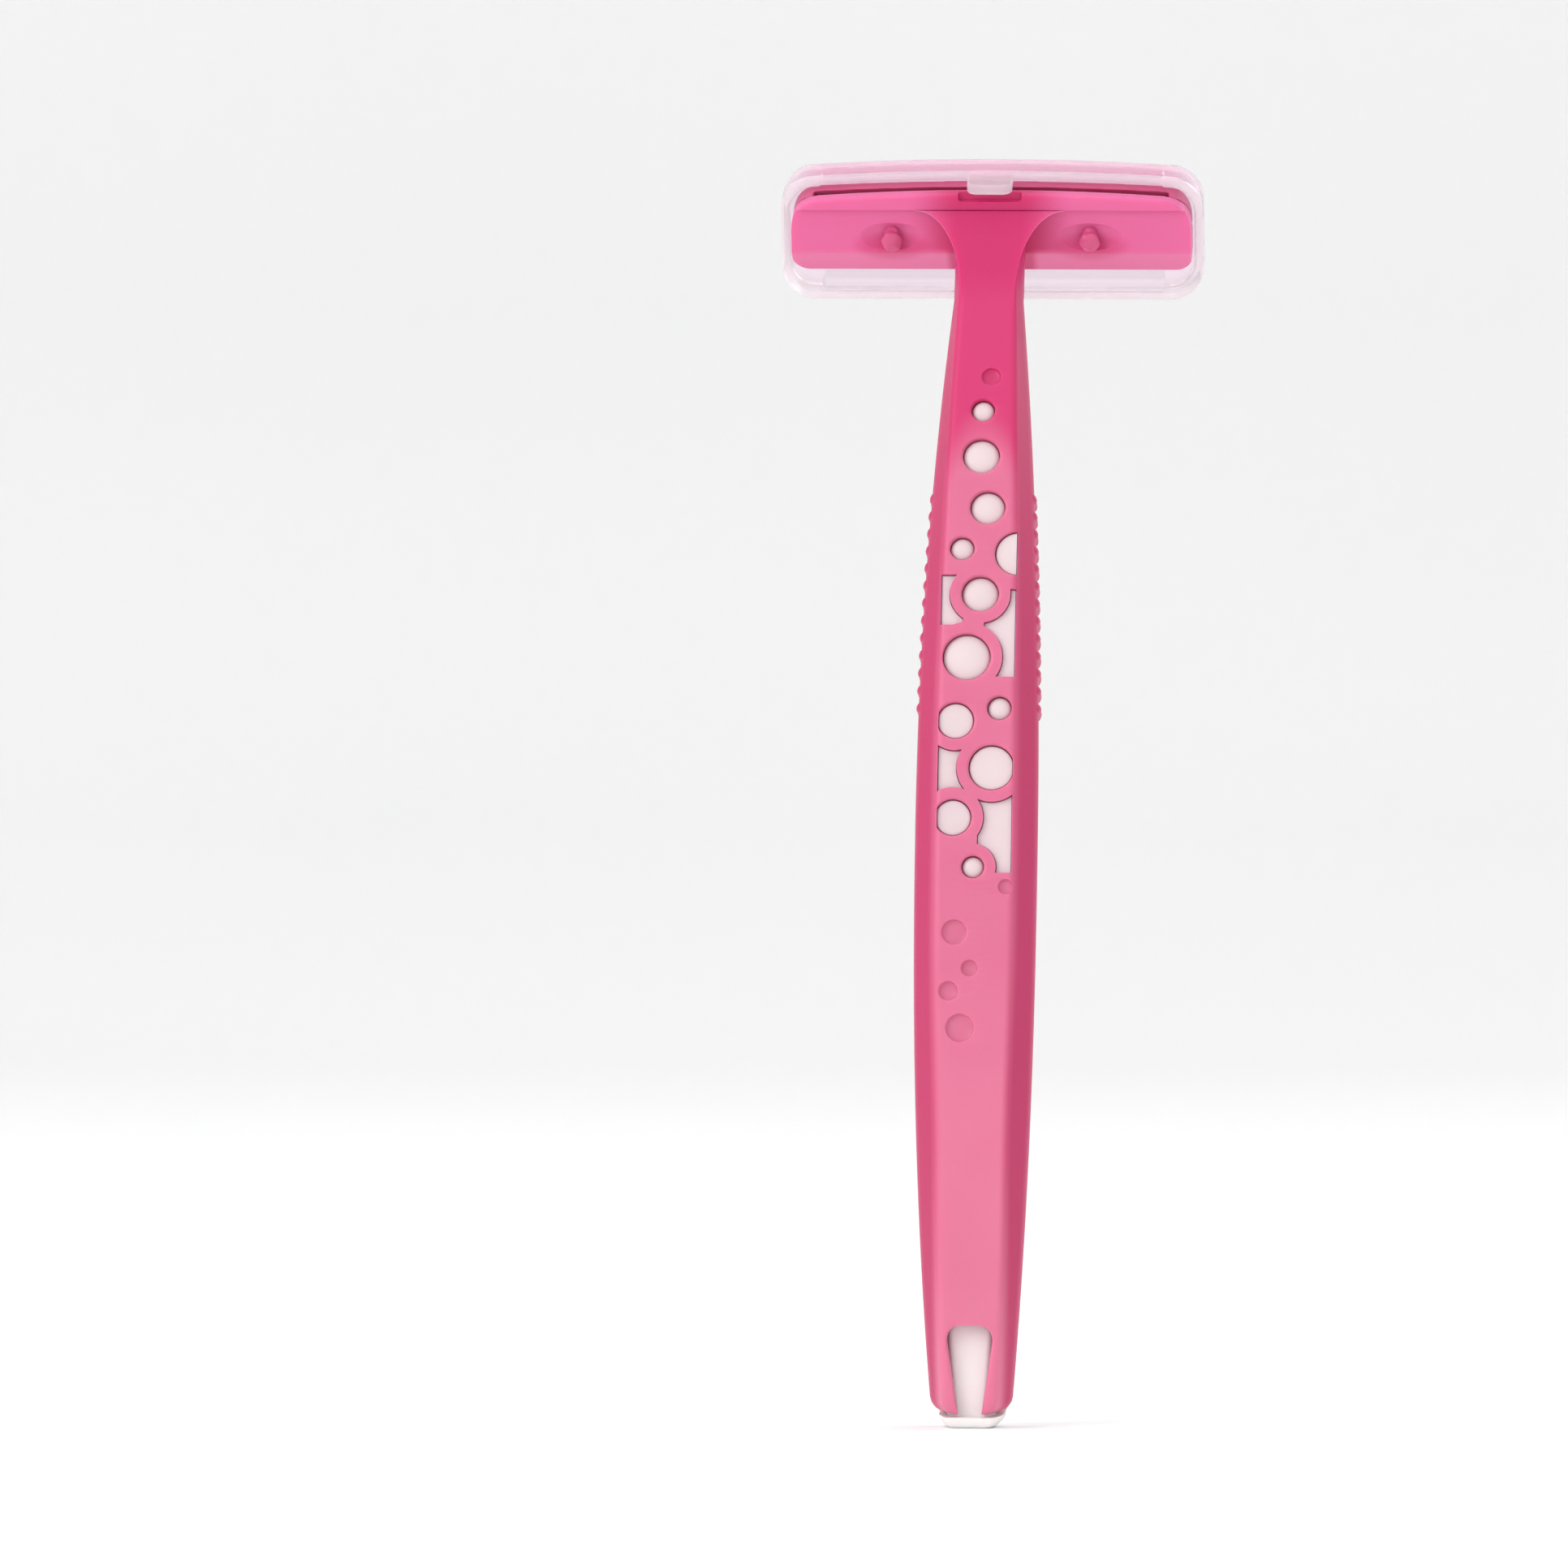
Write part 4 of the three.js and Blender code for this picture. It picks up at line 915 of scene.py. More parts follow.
# %% Bubbles and windows
# Each bubble: across, below the panel's top edge, radius, all in mm.
OPEN_BUBBLES = [
    (0.05, 1.1, 1.2), (0.1, 6.1, 1.9), (-0.7, 11.7, 1.8), (1.8, 16.1, 1.25), (-3.9, 16.6, 2.35),
    (-0.15, 20.9, 1.9), (1.1, 27.5, 2.45), (2.1, 34.1, 1.9), (-2.35, 32.8, 1.25),
    (-1.65, 38.9, 2.35), (2.2, 44.0, 1.9), (0.1, 49.0, 1.15),
]
BLIND_BUBBLES = [
    (-0.7, -2.6, 0.95), (-3.3, 51.0, 0.75), (1.9, 55.6, 1.25), (0.3, 59.2, 0.8),
    (2.4, 61.5, 0.95), (1.2, 65.2, 1.4),
]
BLIND_DEPTH = 0.45 * MM
RING = 1.2 * MM
CUT_HALF = 3.83 * MM
# Each window: from across, to across, from and to below the panel's top edge, in mm.
WINDOWS = [(1.5, 3.83, 18.9, 24.2), (-3.83, -0.6, 20.4, 29.6), (0.4, 3.83, 36.4, 41.6),
           (-3.83, -0.3, 41.0, 49.6)]
AROUND = 48


def turned_plug(name, bubble, extra, profile):
    """A plug square to the surface: profile gives (radius added, depth from the surface)."""
    across, below, radius = (v * MM for v in bubble)
    station = PANEL_TOP - below
    surface = section(station)[4]
    lean = station / BOW_RADIUS - TAIL_LEAN
    middle = np.array(bow_point(station, across, surface))
    outward = np.array((0, math.cos(lean), math.sin(lean)))
    along = np.array((0, -math.sin(lean), math.cos(lean)))
    turns = np.radians(np.arange(AROUND) * 360 / AROUND)
    rings = []
    for more, height in profile:
        r = radius + extra + more
        rings.append([middle + outward * height + np.array((r * math.cos(a), 0, 0))
                      + along * r * math.sin(a) for a in turns])
    return loft(name, rings)


def rim_profile(bottom, rim):
    """Straight up from the bottom, then a quarter-round flare at the surface."""
    flare = [(rim * (1 - math.cos(a)), -rim + rim * math.sin(a)) for a in np.radians((0, 22, 45, 68, 90))]
    return [(0, bottom), *flare, (rim * 1.02, PAST)]


def window_cutter(window):
    low, high, top, bottom = (v * MM for v in window)
    places = stations(PANEL_TOP - bottom, PANEL_TOP - top)

    def outline(station):
        surface = section(station)[4]
        bed = surface - SHELL_WALL - PAST
        return [(high, bed), (high, surface + PAST), (low, surface + PAST), (low, bed)]
    return bowed("window", places, outline)


inside_cut = -(SHELL_WALL + PAST)
strip_places = stations(PANEL_TOP - 70 * MM, PANEL_TOP + 6 * MM)
windows = []
for window in WINDOWS:
    cutter = window_cutter(window)
    rings = [turned_plug("ring", bubble, RING, [(0, inside_cut - PAST), (0, 2 * PAST)])
             for bubble in OPEN_BUBBLES]
    combine(cutter, "DIFFERENCE", *rings)
    soften(cutter, 0.2 * MM, 3, 40)
    windows.append(cutter)
bubbles = []
for bubble in OPEN_BUBBLES:
    plug = turned_plug("bubble", bubble, 0, rim_profile(inside_cut, RIM))
    if abs(bubble[0]) * MM + bubble[2] * MM > CUT_HALF - RIM:
        keep = slab("keep", strip_places, lambda s: CUT_HALF,
                    lambda s: (section(s)[4] - 3 * MM, section(s)[4] + 3 * MM))
        combine(plug, "INTERSECT", keep)
    bubbles.append(plug)
for bubble in BLIND_BUBBLES:
    dish = [(-0.25 * MM, -BLIND_DEPTH), (-0.08 * MM, -0.8 * BLIND_DEPTH)]
    bubbles.append(turned_plug("dimple", bubble, 0, dish + rim_profile(-0.6 * BLIND_DEPTH, 0.18 * MM)[1:]))
combine(shell, "DIFFERENCE", *bubbles, *windows, tail_slot())
print("shell with bubbles:", len(shell.data.polygons), "faces")

# %% [markdown]
# ## The head
# The head is moulded in one with the shell: a back plate, a raised strip along its top, a
# guard bar in front and a solid end on each side. Its side view is run across and trimmed to
# the outline seen from behind, which gives crisp mating faces with eased corners. The neck
# spreads into the raised strip in two wide curves.

# %% Head sections
HEAD_ARCH = 0.6 * MM
HEAD_SHOULDER = 3.7 * MM
HEAD_CORNER = 2.2 * MM
PLATE_BOTTOM = 3.15 * MM
PLATE_THICKNESS = 1.6 * MM
STRIP_RAISE = 0.5 * MM
GUARD_HEIGHT = 1.9 * MM
GUARD_THICKNESS = 1.1 * MM
LIP_FOOT_OUT = 3.4 * MM
END_WIDTH = 2.3 * MM
END_ABOVE_EDGE = 0.85 * MM
SEAT_GAP = 0.3 * MM
BLADE_WIDTH = 5 * MM
SEAT_PAST_BLADE = 1.1 * MM
NECK_FLARE = 4.9 * MM
FLARE_RISE = 6.2 * MM
SLAB_LAP = 0.02 * MM
HEAD_EASE = 0.3 * MM
SMALL_EASE = 0.12 * MM
SEAT_FROM_EDGE = 1.3 * MM
SEAT_FOOT = 0.4 * MM
CHANNEL_OUT = 3.5 * MM
CHANNEL_UP = 1.35 * MM
NUB_COUNT = 4
NUB_PITCH = 7.27 * MM
NUB_SIZE = (0.5 * MM, 0.42 * MM, 0.42 * MM)
NUB_SET_BACK = 0.62 * MM
FAR = 30 * MM


def head_block(name):
    """The head's outline from behind, as a block with eased faces."""
    def ring(inset):
        half = HEAD_WIDTH / 2 - inset
        top = HEAD_HEIGHT - HEAD_ARCH - inset
        low = inset
        flat = half - HEAD_SHOULDER
        points = arc((-half + HEAD_CORNER, low + HEAD_CORNER), HEAD_CORNER, 180, 270, 8)
        points += arc((half - HEAD_CORNER, low + HEAD_CORNER), HEAD_CORNER, -90, 0, 8)
        for t in np.linspace(0, 1, 9):
            x = (1 - t) ** 2 * half + 2 * t * (1 - t) * half + t**2 * flat
            z = (1 - t) ** 2 * (top - HEAD_SHOULDER) + 2 * t * (1 - t) * top + t**2 * top
            points.append((x, z))
        for t in np.linspace(0, 1, 25)[1:-1]:
            x = flat * (1 - 2 * t)
            points.append((x, top + 2 * HEAD_ARCH * 2 * t * (1 - t)))
        for t in np.linspace(0, 1, 9):
            x = -((1 - t) ** 2 * flat + 2 * t * (1 - t) * half + t**2 * half)
            z = (1 - t) ** 2 * top + 2 * t * (1 - t) * top + t**2 * (top - HEAD_SHOULDER)
            points.append((x, z))
        return points
    turns = np.radians((0, 30, 60, 90))
    back = [(HEAD_EASE * (1 - math.sin(a)), ring(HEAD_EASE * (1 - math.cos(a)))) for a in turns[::-1]]
    front = [(HEAD_DEPTH - HEAD_EASE * (1 - math.sin(a)), ring(HEAD_EASE * (1 - math.cos(a))))
             for a in turns]
    return out_of_head(name, back + front)


def head_base():
    seat_front = over_blade(SEAT_FROM_EDGE, -SEAT_GAP)
    seat_back = over_blade(BLADE_WIDTH + SEAT_PAST_BLADE, -SEAT_GAP)
    corners = [
        (0, HEAD_HEIGHT + PAST, 0),
        (0, NECK_RISE, 0.22 * MM),
        (STRIP_RAISE, NECK_RISE, 0.2 * MM),
        (STRIP_RAISE, PLATE_BOTTOM, 0.3 * MM),
        (LIP_FOOT_OUT, 0, 0.4 * MM),
        (HEAD_DEPTH, 0, 0.35 * MM),
        (HEAD_DEPTH, GUARD_HEIGHT * 0.55, 0.1 * MM),
        (HEAD_DEPTH - SMALL_EASE, GUARD_HEIGHT, 0.35 * MM),
        (HEAD_DEPTH - GUARD_THICKNESS, GUARD_HEIGHT, 0.25 * MM),
        (CHANNEL_OUT, CHANNEL_UP, SMALL_EASE),
        (PLATE_THICKNESS, PLATE_BOTTOM, SMALL_EASE),
        (PLATE_THICKNESS + SEAT_FOOT, PLATE_BOTTOM + SEAT_FOOT, SMALL_EASE),
        (seat_front[0] - SEAT_FOOT, seat_front[1] - SEAT_FOOT, SMALL_EASE),
        (*seat_front, SMALL_EASE),
        (*seat_back, SMALL_EASE),
        (seat_back[0], HEAD_HEIGHT + PAST, 0),
    ]
    body = across_head("head_base", eased(corners, 4), HEAD_WIDTH / 2 + PAST)
    end_top = EDGE_UP + END_ABOVE_EDGE
    end_corners = [
        (STRIP_RAISE, PLATE_BOTTOM, 0.3 * MM),
        (LIP_FOOT_OUT, 0, 0.4 * MM),
        (HEAD_DEPTH, 0, 0.35 * MM),
        (HEAD_DEPTH, end_top, 0.35 * MM),
        (STRIP_RAISE, end_top, SMALL_EASE),
    ]
    inner = HEAD_WIDTH / 2 - END_WIDTH
    for side in (-1, 1):
        end = across_head("head_end", eased(end_corners, 4), END_WIDTH / 2 + PAST / 2)
        end.data.transform(Matrix.Translation((side * (inner + END_WIDTH / 2 + PAST / 2), 0, 0)))
        combine(body, "UNION", end)
    combine(body, "INTERSECT", head_block("head_block"))
    return body


def guard_nubs():
    """Four small round nubs along the guard bar."""
    points = []
    rows, around = 7, 14
    for i in range(1, rows):
        up = math.pi * i / rows
        for j in range(around):
            turn = 2 * math.pi * j / around
            out = HEAD_DEPTH - NUB_SET_BACK + NUB_SIZE[1] * math.cos(up)
            across = NUB_SIZE[0] * math.sin(up) * math.cos(turn)
            height = GUARD_HEIGHT + NUB_SIZE[2] * math.sin(up) * math.sin(turn)
            points.append(head_point(across, out, height))
    nub = loft("guard_nub", np.array(points).reshape(rows - 1, around, 3))
    return grow(nub, row_of_parts, Count=NUB_COUNT, Pitch=NUB_PITCH, Material=shell_pink)


def neck_flare():
    """The neck's slab, spreading in two wide arcs into the raised strip of the head."""
    flat = NECK[0] / 2 - NECK[2]
    side = [(flat, -NECK_RISE / 3)]
    for a in np.radians(np.linspace(0, 90, 20)):
        side.append((flat + NECK_FLARE * (1 - math.cos(a)), NECK_RISE - FLARE_RISE * (1 - math.sin(a))))
    ring = side + [(-x, up) for x, up in reversed(side)]
    block = out_of_head("neck_flare", [(-FAR, ring), (PLATE_THICKNESS * 0.8, ring)])
    neck_places = stations(NECK_STATION - 4 * MM, HANDLE_LENGTH + 6 * MM)
    front, back = -NECK[3] + SLAB_LAP, NECK[4] + SLAB_LAP
    slab_outline = [(-9 * MM, front), (-9 * MM, back), (9 * MM, back), (9 * MM, front)]
    keep = bowed("neck_slab", neck_places, lambda s: slab_outline)
    return combine(block, "INTERSECT", keep)


def head_box(name, across, out, up):
    ring = [(across[0], up[0]), (across[1], up[0]), (across[1], up[1]), (across[0], up[1])]
    return out_of_head(name, [(out[0], ring), (out[1], ring)])


base = head_base()
combine(base, "UNION", guard_nubs())
print("head base:", len(base.data.polygons), "faces")
combine(shell, "UNION", neck_flare())
beyond_plate = head_box("beyond_plate", (-FAR, FAR), (0.7 * MM, FAR), (-FAR, FAR))
above_strip = head_box("above_strip", (-FAR, FAR), (-FAR, FAR), (NECK_RISE, FAR))
combine(shell, "DIFFERENCE", beyond_plate, above_strip)
combine(shell, "UNION", base)
print("shell with head:", len(shell.data.polygons), "faces")

# %% [markdown]
# ## Small cuts in the head
# The cover's tongue drops into a shallow pocket at the top of the head. Round each pin the
# plate is dished, where the tool that melts the pin presses. An egg shape cuts a dish with a
# soft edge in one step.

# %% Catch pocket, pin dishes and thumb groove
POST_UP_BLADE = 3.1 * MM
STAKE_OUT = STRIP_RAISE - 0.15 * MM - 0.45 * MM
post_end = -(EDGE_OUT - STAKE_OUT) / math.cos(BLADE_ANGLE) + POST_UP_BLADE * math.tan(BLADE_ANGLE)
STAKE_UP = over_blade(POST_UP_BLADE, post_end)[1]
POCKET_HALF = 3.3 * MM
POCKET_DEPTH = 0.9 * MM
POCKET_BELOW_TOP = 0.8 * MM
DISH_SIZE = (4.4 * MM, 1.45 * MM, 1.95 * MM)
DISH_SET_OUT = 0.9 * MM
DISH_ABOVE_PIN = 0.35 * MM


def ellipsoid(name, centre, sizes, rows=16, around=32):
    """A closed egg in the head frame: sizes across, out and up."""
    rings = []
    for i in range(rows + 1):
        angle = math.pi * min(max(i / rows, 0.004), 0.996)
        ring = []
        for j in range(around):
            turn = 2 * math.pi * j / around
            x = centre[0] + sizes[0] * math.sin(angle) * math.cos(turn)
            up = centre[2] + sizes[2] * math.sin(angle) * math.sin(turn)
            ring.append(head_point(x, centre[1] + sizes[1] * math.cos(angle), up))
        rings.append(ring)
    return loft(name, rings)


pocket = head_box("catch_pocket", (-POCKET_HALF, POCKET_HALF), (-PAST, POCKET_DEPTH),
                  (HEAD_HEIGHT - POCKET_BELOW_TOP, HEAD_HEIGHT + 2 * PAST))
soften(pocket, 0.35 * MM, 3)
dish_out = STRIP_RAISE - DISH_SET_OUT
dish_up = STAKE_UP + DISH_ABOVE_PIN
dishes = [ellipsoid("pin_dish", (side * POST_SPACING / 2, dish_out, dish_up), DISH_SIZE)
          for side in (-1, 1)]
combine(shell, "DIFFERENCE", pocket, thumb_groove(), *dishes)
print("finished shell:", len(shell.data.polygons), "faces")

# %% [markdown]
# ## Finishing a moulding
# A boolean leaves large flat faces next to tiny ones. Marking the real edges as sharp and
# weighting the normals by face area keeps the flat faces flat in the light, while the small
# flares round off smoothly.

# %% Finish the shell
def finish_moulding(piece, material, angle=32):
    mesh = piece.data
    mesh.materials.clear()
    mesh.materials.append(material)
    shape = bmesh.new()
    shape.from_mesh(mesh)
    bmesh.ops.remove_doubles(shape, verts=shape.verts, dist=2e-6)
    bmesh.ops.dissolve_degenerate(shape, edges=shape.edges, dist=1e-6)
    bmesh.ops.triangulate(shape, faces=[f for f in shape.faces if len(f.verts) > 4])
    shape.to_mesh(mesh)
    shape.free()
    mesh.polygons.foreach_set("material_index", [0] * len(mesh.polygons))
    mesh.polygons.foreach_set("use_smooth", [True] * len(mesh.polygons))
    mesh.set_sharp_from_angle(angle=math.radians(angle))
    weighted = piece.modifiers.new("flat faces first", "WEIGHTED_NORMAL")
    weighted.keep_sharp = True
    weighted.weight = 60
    return piece


def settle(piece, body, slot, *nodes):
    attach(piece, body)
    if nodes:
        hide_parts(*nodes)


finish_moulding(shell, shell_pink)
settle(shell, "razor", "pink_shell", "handle_shell")

# %% [markdown]
# ## The white core
# The core fills the channel: a body behind, a panel that closes the front, and a plug that
# shows at the tail. Behind every open bubble it rises into a low dome, which gives the white
# spots their soft round shading.

# %% Core
TAIL_ROUNDING = 1.4 * MM
PANEL_ROUNDING = 0.9 * MM
PLUG_HALF = 3.3 * MM
DOME_EDGE = 0.85 * MM
DOME_TOP = 0.35 * MM
PAD_BELOW = 0.5 * MM
PAD_GAP = 0.07 * MM
FILL_GAP = 0.3 * MM
FILL_LEAST = 0.4 * MM
FILL_BELOW = 0.45 * MM


def narrowed(sizes, draw, plug=0):
    front, ridge, back, front_depth, back_depth = sizes
    if plug:
        front, ridge, back = min(front, plug), min(ridge, plug), min(back, plug)
    return front - draw, ridge - draw, back - draw, front_depth, back_depth


def core_body_outline(station):
    sizes = walled(section(station), SHELL_WALL + CORE_GAP)
    draw = end_draw(station, TAIL_ROUNDING)
    front, ridge, back, front_depth, back_depth = narrowed(sizes, draw, PLUG_HALF + station * 0.4)
    return six_sided(front, ridge, back, front_depth - PANEL_THICKNESS / 2 - 0.7 * draw,
                     back_depth - draw, (0.2 * MM, 0.6 * MM, 0.5 * MM))


def panel_outline(station):
    front, ridge, _, front_depth, _ = section(station)
    slope = (ridge - front) / front_depth
    draw = end_draw(station, TAIL_ROUNDING) + end_draw(PANEL_TOP - station, PANEL_ROUNDING)
    half = front - draw
    if station < SHELL_END:
        half = min(half, PLUG_HALF - draw)
    top = -front_depth + min(0.4 * end_draw(station, TAIL_ROUNDING), PANEL_THICKNESS / 2)
    bed = -front_depth + PANEL_THICKNESS
    back_half = half + slope * PANEL_THICKNESS
    side = [(half, top, 0.3 * MM), (back_half, bed, 0.15 * MM)]
    return eased(side + [(-x, d, e) for x, d, e in reversed(side)])


def plug_outline(station):
    draw = end_draw(station, TAIL_ROUNDING)
    front, ridge, back, front_depth, back_depth = narrowed(section(station), draw, PLUG_HALF)
    return six_sided(front, ridge, min(back, 2.5 * MM), front_depth - 0.5 * draw, back_depth - 0.9 * draw,
                     (0.3 * MM, 0.6 * MM, 0.5 * MM))


def fill_outline(station):
    """The part of the core that shows in the tail slot, a little inside the slot's walls."""
    half = max(slot_half(max(station, SHELL_END)) - FILL_GAP, FILL_LEAST)
    return six_sided(half, half, half, 0, section(station)[4] - FILL_BELOW,
                     (0.1 * MM, 0.1 * MM, 0.3 * MM))


def window_pad(window):
    """A raised pad of the core that nearly fills a window and stays clear of the bubbles."""
    low, high, top, bottom = (v * MM for v in window)

    def outline(station):
        surface = section(station)[4] - PAD_BELOW
        bed = surface - SHELL_WALL - PAST
        return [(high, bed), (high, surface), (low, surface), (low, bed)]
    pad = bowed("pad", stations(PANEL_TOP - bottom, PANEL_TOP - top), outline)
    rings = [turned_plug("ring", bubble, RING + PAD_GAP, [(0, inside_cut - PAST), (0, 2 * PAST)])
             for bubble in OPEN_BUBBLES]
    combine(pad, "DIFFERENCE", *rings)
    return soften(pad, 0.2 * MM, 3, 40)


round_tail = [t * TAIL_ROUNDING for t in (-0.06, 0.0, 0.04, 0.12, 0.25, 0.45, 0.7)]
round_top = [PANEL_TOP - t * PANEL_ROUNDING for t in (0.7, 0.45, 0.25, 0.1, 0.02, 0)]
core = bowed("white_core", [*round_tail, *stations(TAIL_ROUNDING, PANEL_TOP - PANEL_ROUNDING - PAST)],
             core_body_outline)
panel = bowed("panel", [*round_tail, *stations(TAIL_ROUNDING, PANEL_TOP - PANEL_ROUNDING), *round_top],
              panel_outline)
plug = bowed("plug", [*round_tail, *stations(TAIL_ROUNDING - 0.2 * MM, SHELL_END - CORE_GAP)][:9],
             plug_outline)
slot_fill = bowed("slot_fill", stations(0.5 * MM, SLOT_TOP - 0.35 * MM, 0.5 * MM), fill_outline)
domes = []
for across, below, radius in OPEN_BUBBLES:
    if abs(across) + radius > CUT_HALF / MM:
        continue
    rise = [(-PAD_GAP, -SHELL_WALL - CORE_GAP - 0.2 * MM)]
    rise += [(-PAD_GAP - (radius * MM - PAD_GAP) * (1 - math.cos(a)),
              -DOME_EDGE + (DOME_EDGE - DOME_TOP) * math.sin(a))
             for a in np.radians((0, 12, 24, 36, 48, 60, 72, 82))]
    domes.append(turned_plug("dome", (across, below, radius), 0, rise))
pads = []
for window in WINDOWS:
    low, high, top, bottom = window
    grown = (low + PAD_GAP / MM, high - PAD_GAP / MM, top + PAD_GAP / MM, bottom - PAD_GAP / MM)
    pads.append(window_pad(grown))
for across, below, radius in OPEN_BUBBLES:
    if abs(across) + radius > CUT_HALF / MM:
        pad = turned_plug("pad", (across, below, radius - PAD_GAP / MM), 0,
                          [(0, -SHELL_WALL - PAST), (0, -PAD_BELOW - 0.2 * MM),
                           (-0.08 * MM, -PAD_BELOW - 0.06 * MM), (-0.25 * MM, -PAD_BELOW)])
        keep = slab("keep", strip_places, lambda s: CUT_HALF - PAD_GAP,
                    lambda s: (section(s)[4] - 3 * MM, section(s)[4] + 3 * MM))
        pads.append(combine(pad, "INTERSECT", keep))
combine(core, "UNION", panel, plug, slot_fill, *domes, *pads)
floor_cut = from_parts(
    "below", [(x * 0.02, y * 0.04, z) for z in (-0.01, 0) for x, y in ((-1, -1), (1, -1), (1, 1), (-1, 1))],
    [(3, 2, 1, 0), (4, 5, 6, 7), (0, 1, 5, 4), (1, 2, 6, 5), (2, 3, 7, 6), (3, 0, 4, 7)])
combine(core, "DIFFERENCE", floor_cut)
finish_moulding(core, core_white)
settle(core, "razor", "white_core", "handle_core")
print("core:", len(core.data.polygons), "faces")

# %% [markdown]
# ## The cap and its pins
# The cap presses the blades down from above. Its two pins pass through blades, spacer and back
# plate, and their ends are melted into low rough domes. A copy of the fixed part is merged and
# rebuilt as an even skin of tiny faces, which rounds all its edges at once. The pin ends are
# then roughened with noise read from each point's place, so the lumps are the same each time.

# %% Cap
CAP_VOXEL = 0.11 * MM
CAP_SMOOTHING = 3
MELTED_RADIUS = 1.5 * MM
LUMPS_PER_METRE = 1500
LUMP_HEIGHT = 0.12 * MM


def softened_copy(name, node, voxel, smoothing):
    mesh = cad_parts[node].data.copy()
    piece = add_object(name, mesh)
    shape = bmesh.new()
    shape.from_mesh(mesh)
    bmesh.ops.remove_doubles(shape, verts=shape.verts, dist=1e-6)
    shape.to_mesh(mesh)
    shape.free()
    skin = piece.modifiers.new("even skin", "REMESH")
    skin.mode = "VOXEL"
    skin.voxel_size = voxel
    smooth = piece.modifiers.new("rounded", "SMOOTH")
    smooth.iterations = smoothing
    smooth.factor = 0.5
    return bake(piece)


cap = softened_copy("cap", "head_cap", CAP_VOXEL, CAP_SMOOTHING)
stake_spots = [np.array(head_point(side * POST_SPACING / 2, STAKE_OUT, STAKE_UP)) for side in (-1, 1)]
for vertex in cap.data.vertices:
    place = np.array(vertex.co)
    near = min(np.linalg.norm(place - spot) for spot in stake_spots)
    if near < MELTED_RADIUS:
        lump = wobble.noise(vertex.co * LUMPS_PER_METRE) * LUMP_HEIGHT
        vertex.co += vertex.normal * lump
finish_moulding(cap, cap_pink, 60)
settle(cap, "razor", "pink_cap", "head_cap")
print("cap:", len(cap.data.polygons), "faces")

# %% [markdown]
# ## Blades, spacer and guard strip
# The two blades and the spacer are plain ground strips, so the fixed parts stay and only get
# their steel and plastic. The guard strip is folded over the lower blade's edge and slotted:
# one folded tooth is made, and the row tree repeats it between two bands.

# %% Blade pack
BLADE_LENGTH = HEAD_WIDTH - 2 * (END_WIDTH + 0.4 * MM)
BLADE_THICKNESS = 0.15 * MM
STACK_GAP = 0.1 * MM
COMB_THICKNESS = 0.12 * MM
COMB_REACH = 1.15 * MM
COMB_PITCH = 1.57 * MM
COMB_SLOT = 1.05 * MM
COMB_SLOT_DEPTH = 0.75 * MM


def repaint(node, material):
    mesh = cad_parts[node].data
    mesh.materials.clear()
    mesh.materials.append(material)


repaint("blade_lower", blade_steel)
repaint("blade_upper", blade_steel)
repaint("blade_spacer", spacer_dark)


def folded(name, half, along_from, steps=1):
    """A folded strip of the guard: from along_from round the blade's edge to the same place."""
    upper = BLADE_THICKNESS + STACK_GAP
    nose = -STACK_GAP - COMB_THICKNESS
    t = COMB_THICKNESS
    outer = eased([(along_from, upper + t, 0), (nose, upper + t, 0.16 * MM),
                   (nose, -STACK_GAP - t, 0.16 * MM), (along_from, -STACK_GAP - t, 0)], 4)[5:-5]
    inner = eased([(along_from, upper, 0), (nose + t, upper, 0.06 * MM),
                   (nose + t, -STACK_GAP, 0.06 * MM), (along_from, -STACK_GAP, 0)], 4)[5:-5]
    loop = [(along_from, upper + t), *outer, (along_from, -STACK_GAP - t), (along_from, -STACK_GAP),
            *inner[::-1], (along_from, upper)]
    rings = []
    for x in np.linspace(-half, half, steps + 1):
        ring = []
        for along, over in loop:
            out, up = over_blade(along, over)
            ring.append(head_point(x, out, up))
        rings.append(ring)
    return loft(name, rings)


def lap(name, over):
    """One of the two flat laps of the guard strip, along the whole head."""
    start = COMB_SLOT_DEPTH - STACK_GAP - COMB_THICKNESS
    rings = []
    for x in (-BLADE_LENGTH / 2, BLADE_LENGTH / 2):
        ring = []
        for along, higher in ((start, 0), (COMB_REACH, 0), (COMB_REACH, COMB_THICKNESS),
                              (start, COMB_THICKNESS)):
            out, up = over_blade(along, over + higher)
            ring.append(head_point(x, out, up))
        rings.append(ring)
    return loft(name, rings)


slots = math.floor((BLADE_LENGTH - COMB_SLOT) / COMB_PITCH)
fold_start = COMB_SLOT_DEPTH - STACK_GAP - COMB_THICKNESS + 0.02 * MM
tooth = folded("guard_strip", (COMB_PITCH - COMB_SLOT) / 2, fold_start)
guard_strip = grow(tooth, row_of_parts, Count=slots - 1, Pitch=COMB_PITCH, Material=comb_steel)
outermost = (slots - 1) / 2 * COMB_PITCH + COMB_SLOT / 2
end_half = (BLADE_LENGTH / 2 - outermost) / 2
for side in (-1, 1):
    end = folded("strip_end", end_half, fold_start)
    end.data.transform(Matrix.Translation((side * (outermost + end_half), 0, 0)))
    combine(guard_strip, "UNION", end)
combine(guard_strip, "UNION", lap("upper_lap", BLADE_THICKNESS + STACK_GAP),
        lap("lower_lap", -STACK_GAP - COMB_THICKNESS))
finish_moulding(guard_strip, comb_steel)
settle(guard_strip, "razor", "comb_steel", "comb_guard")
print("guard strip:", slots - 1, "teeth,", len(guard_strip.data.polygons), "faces")

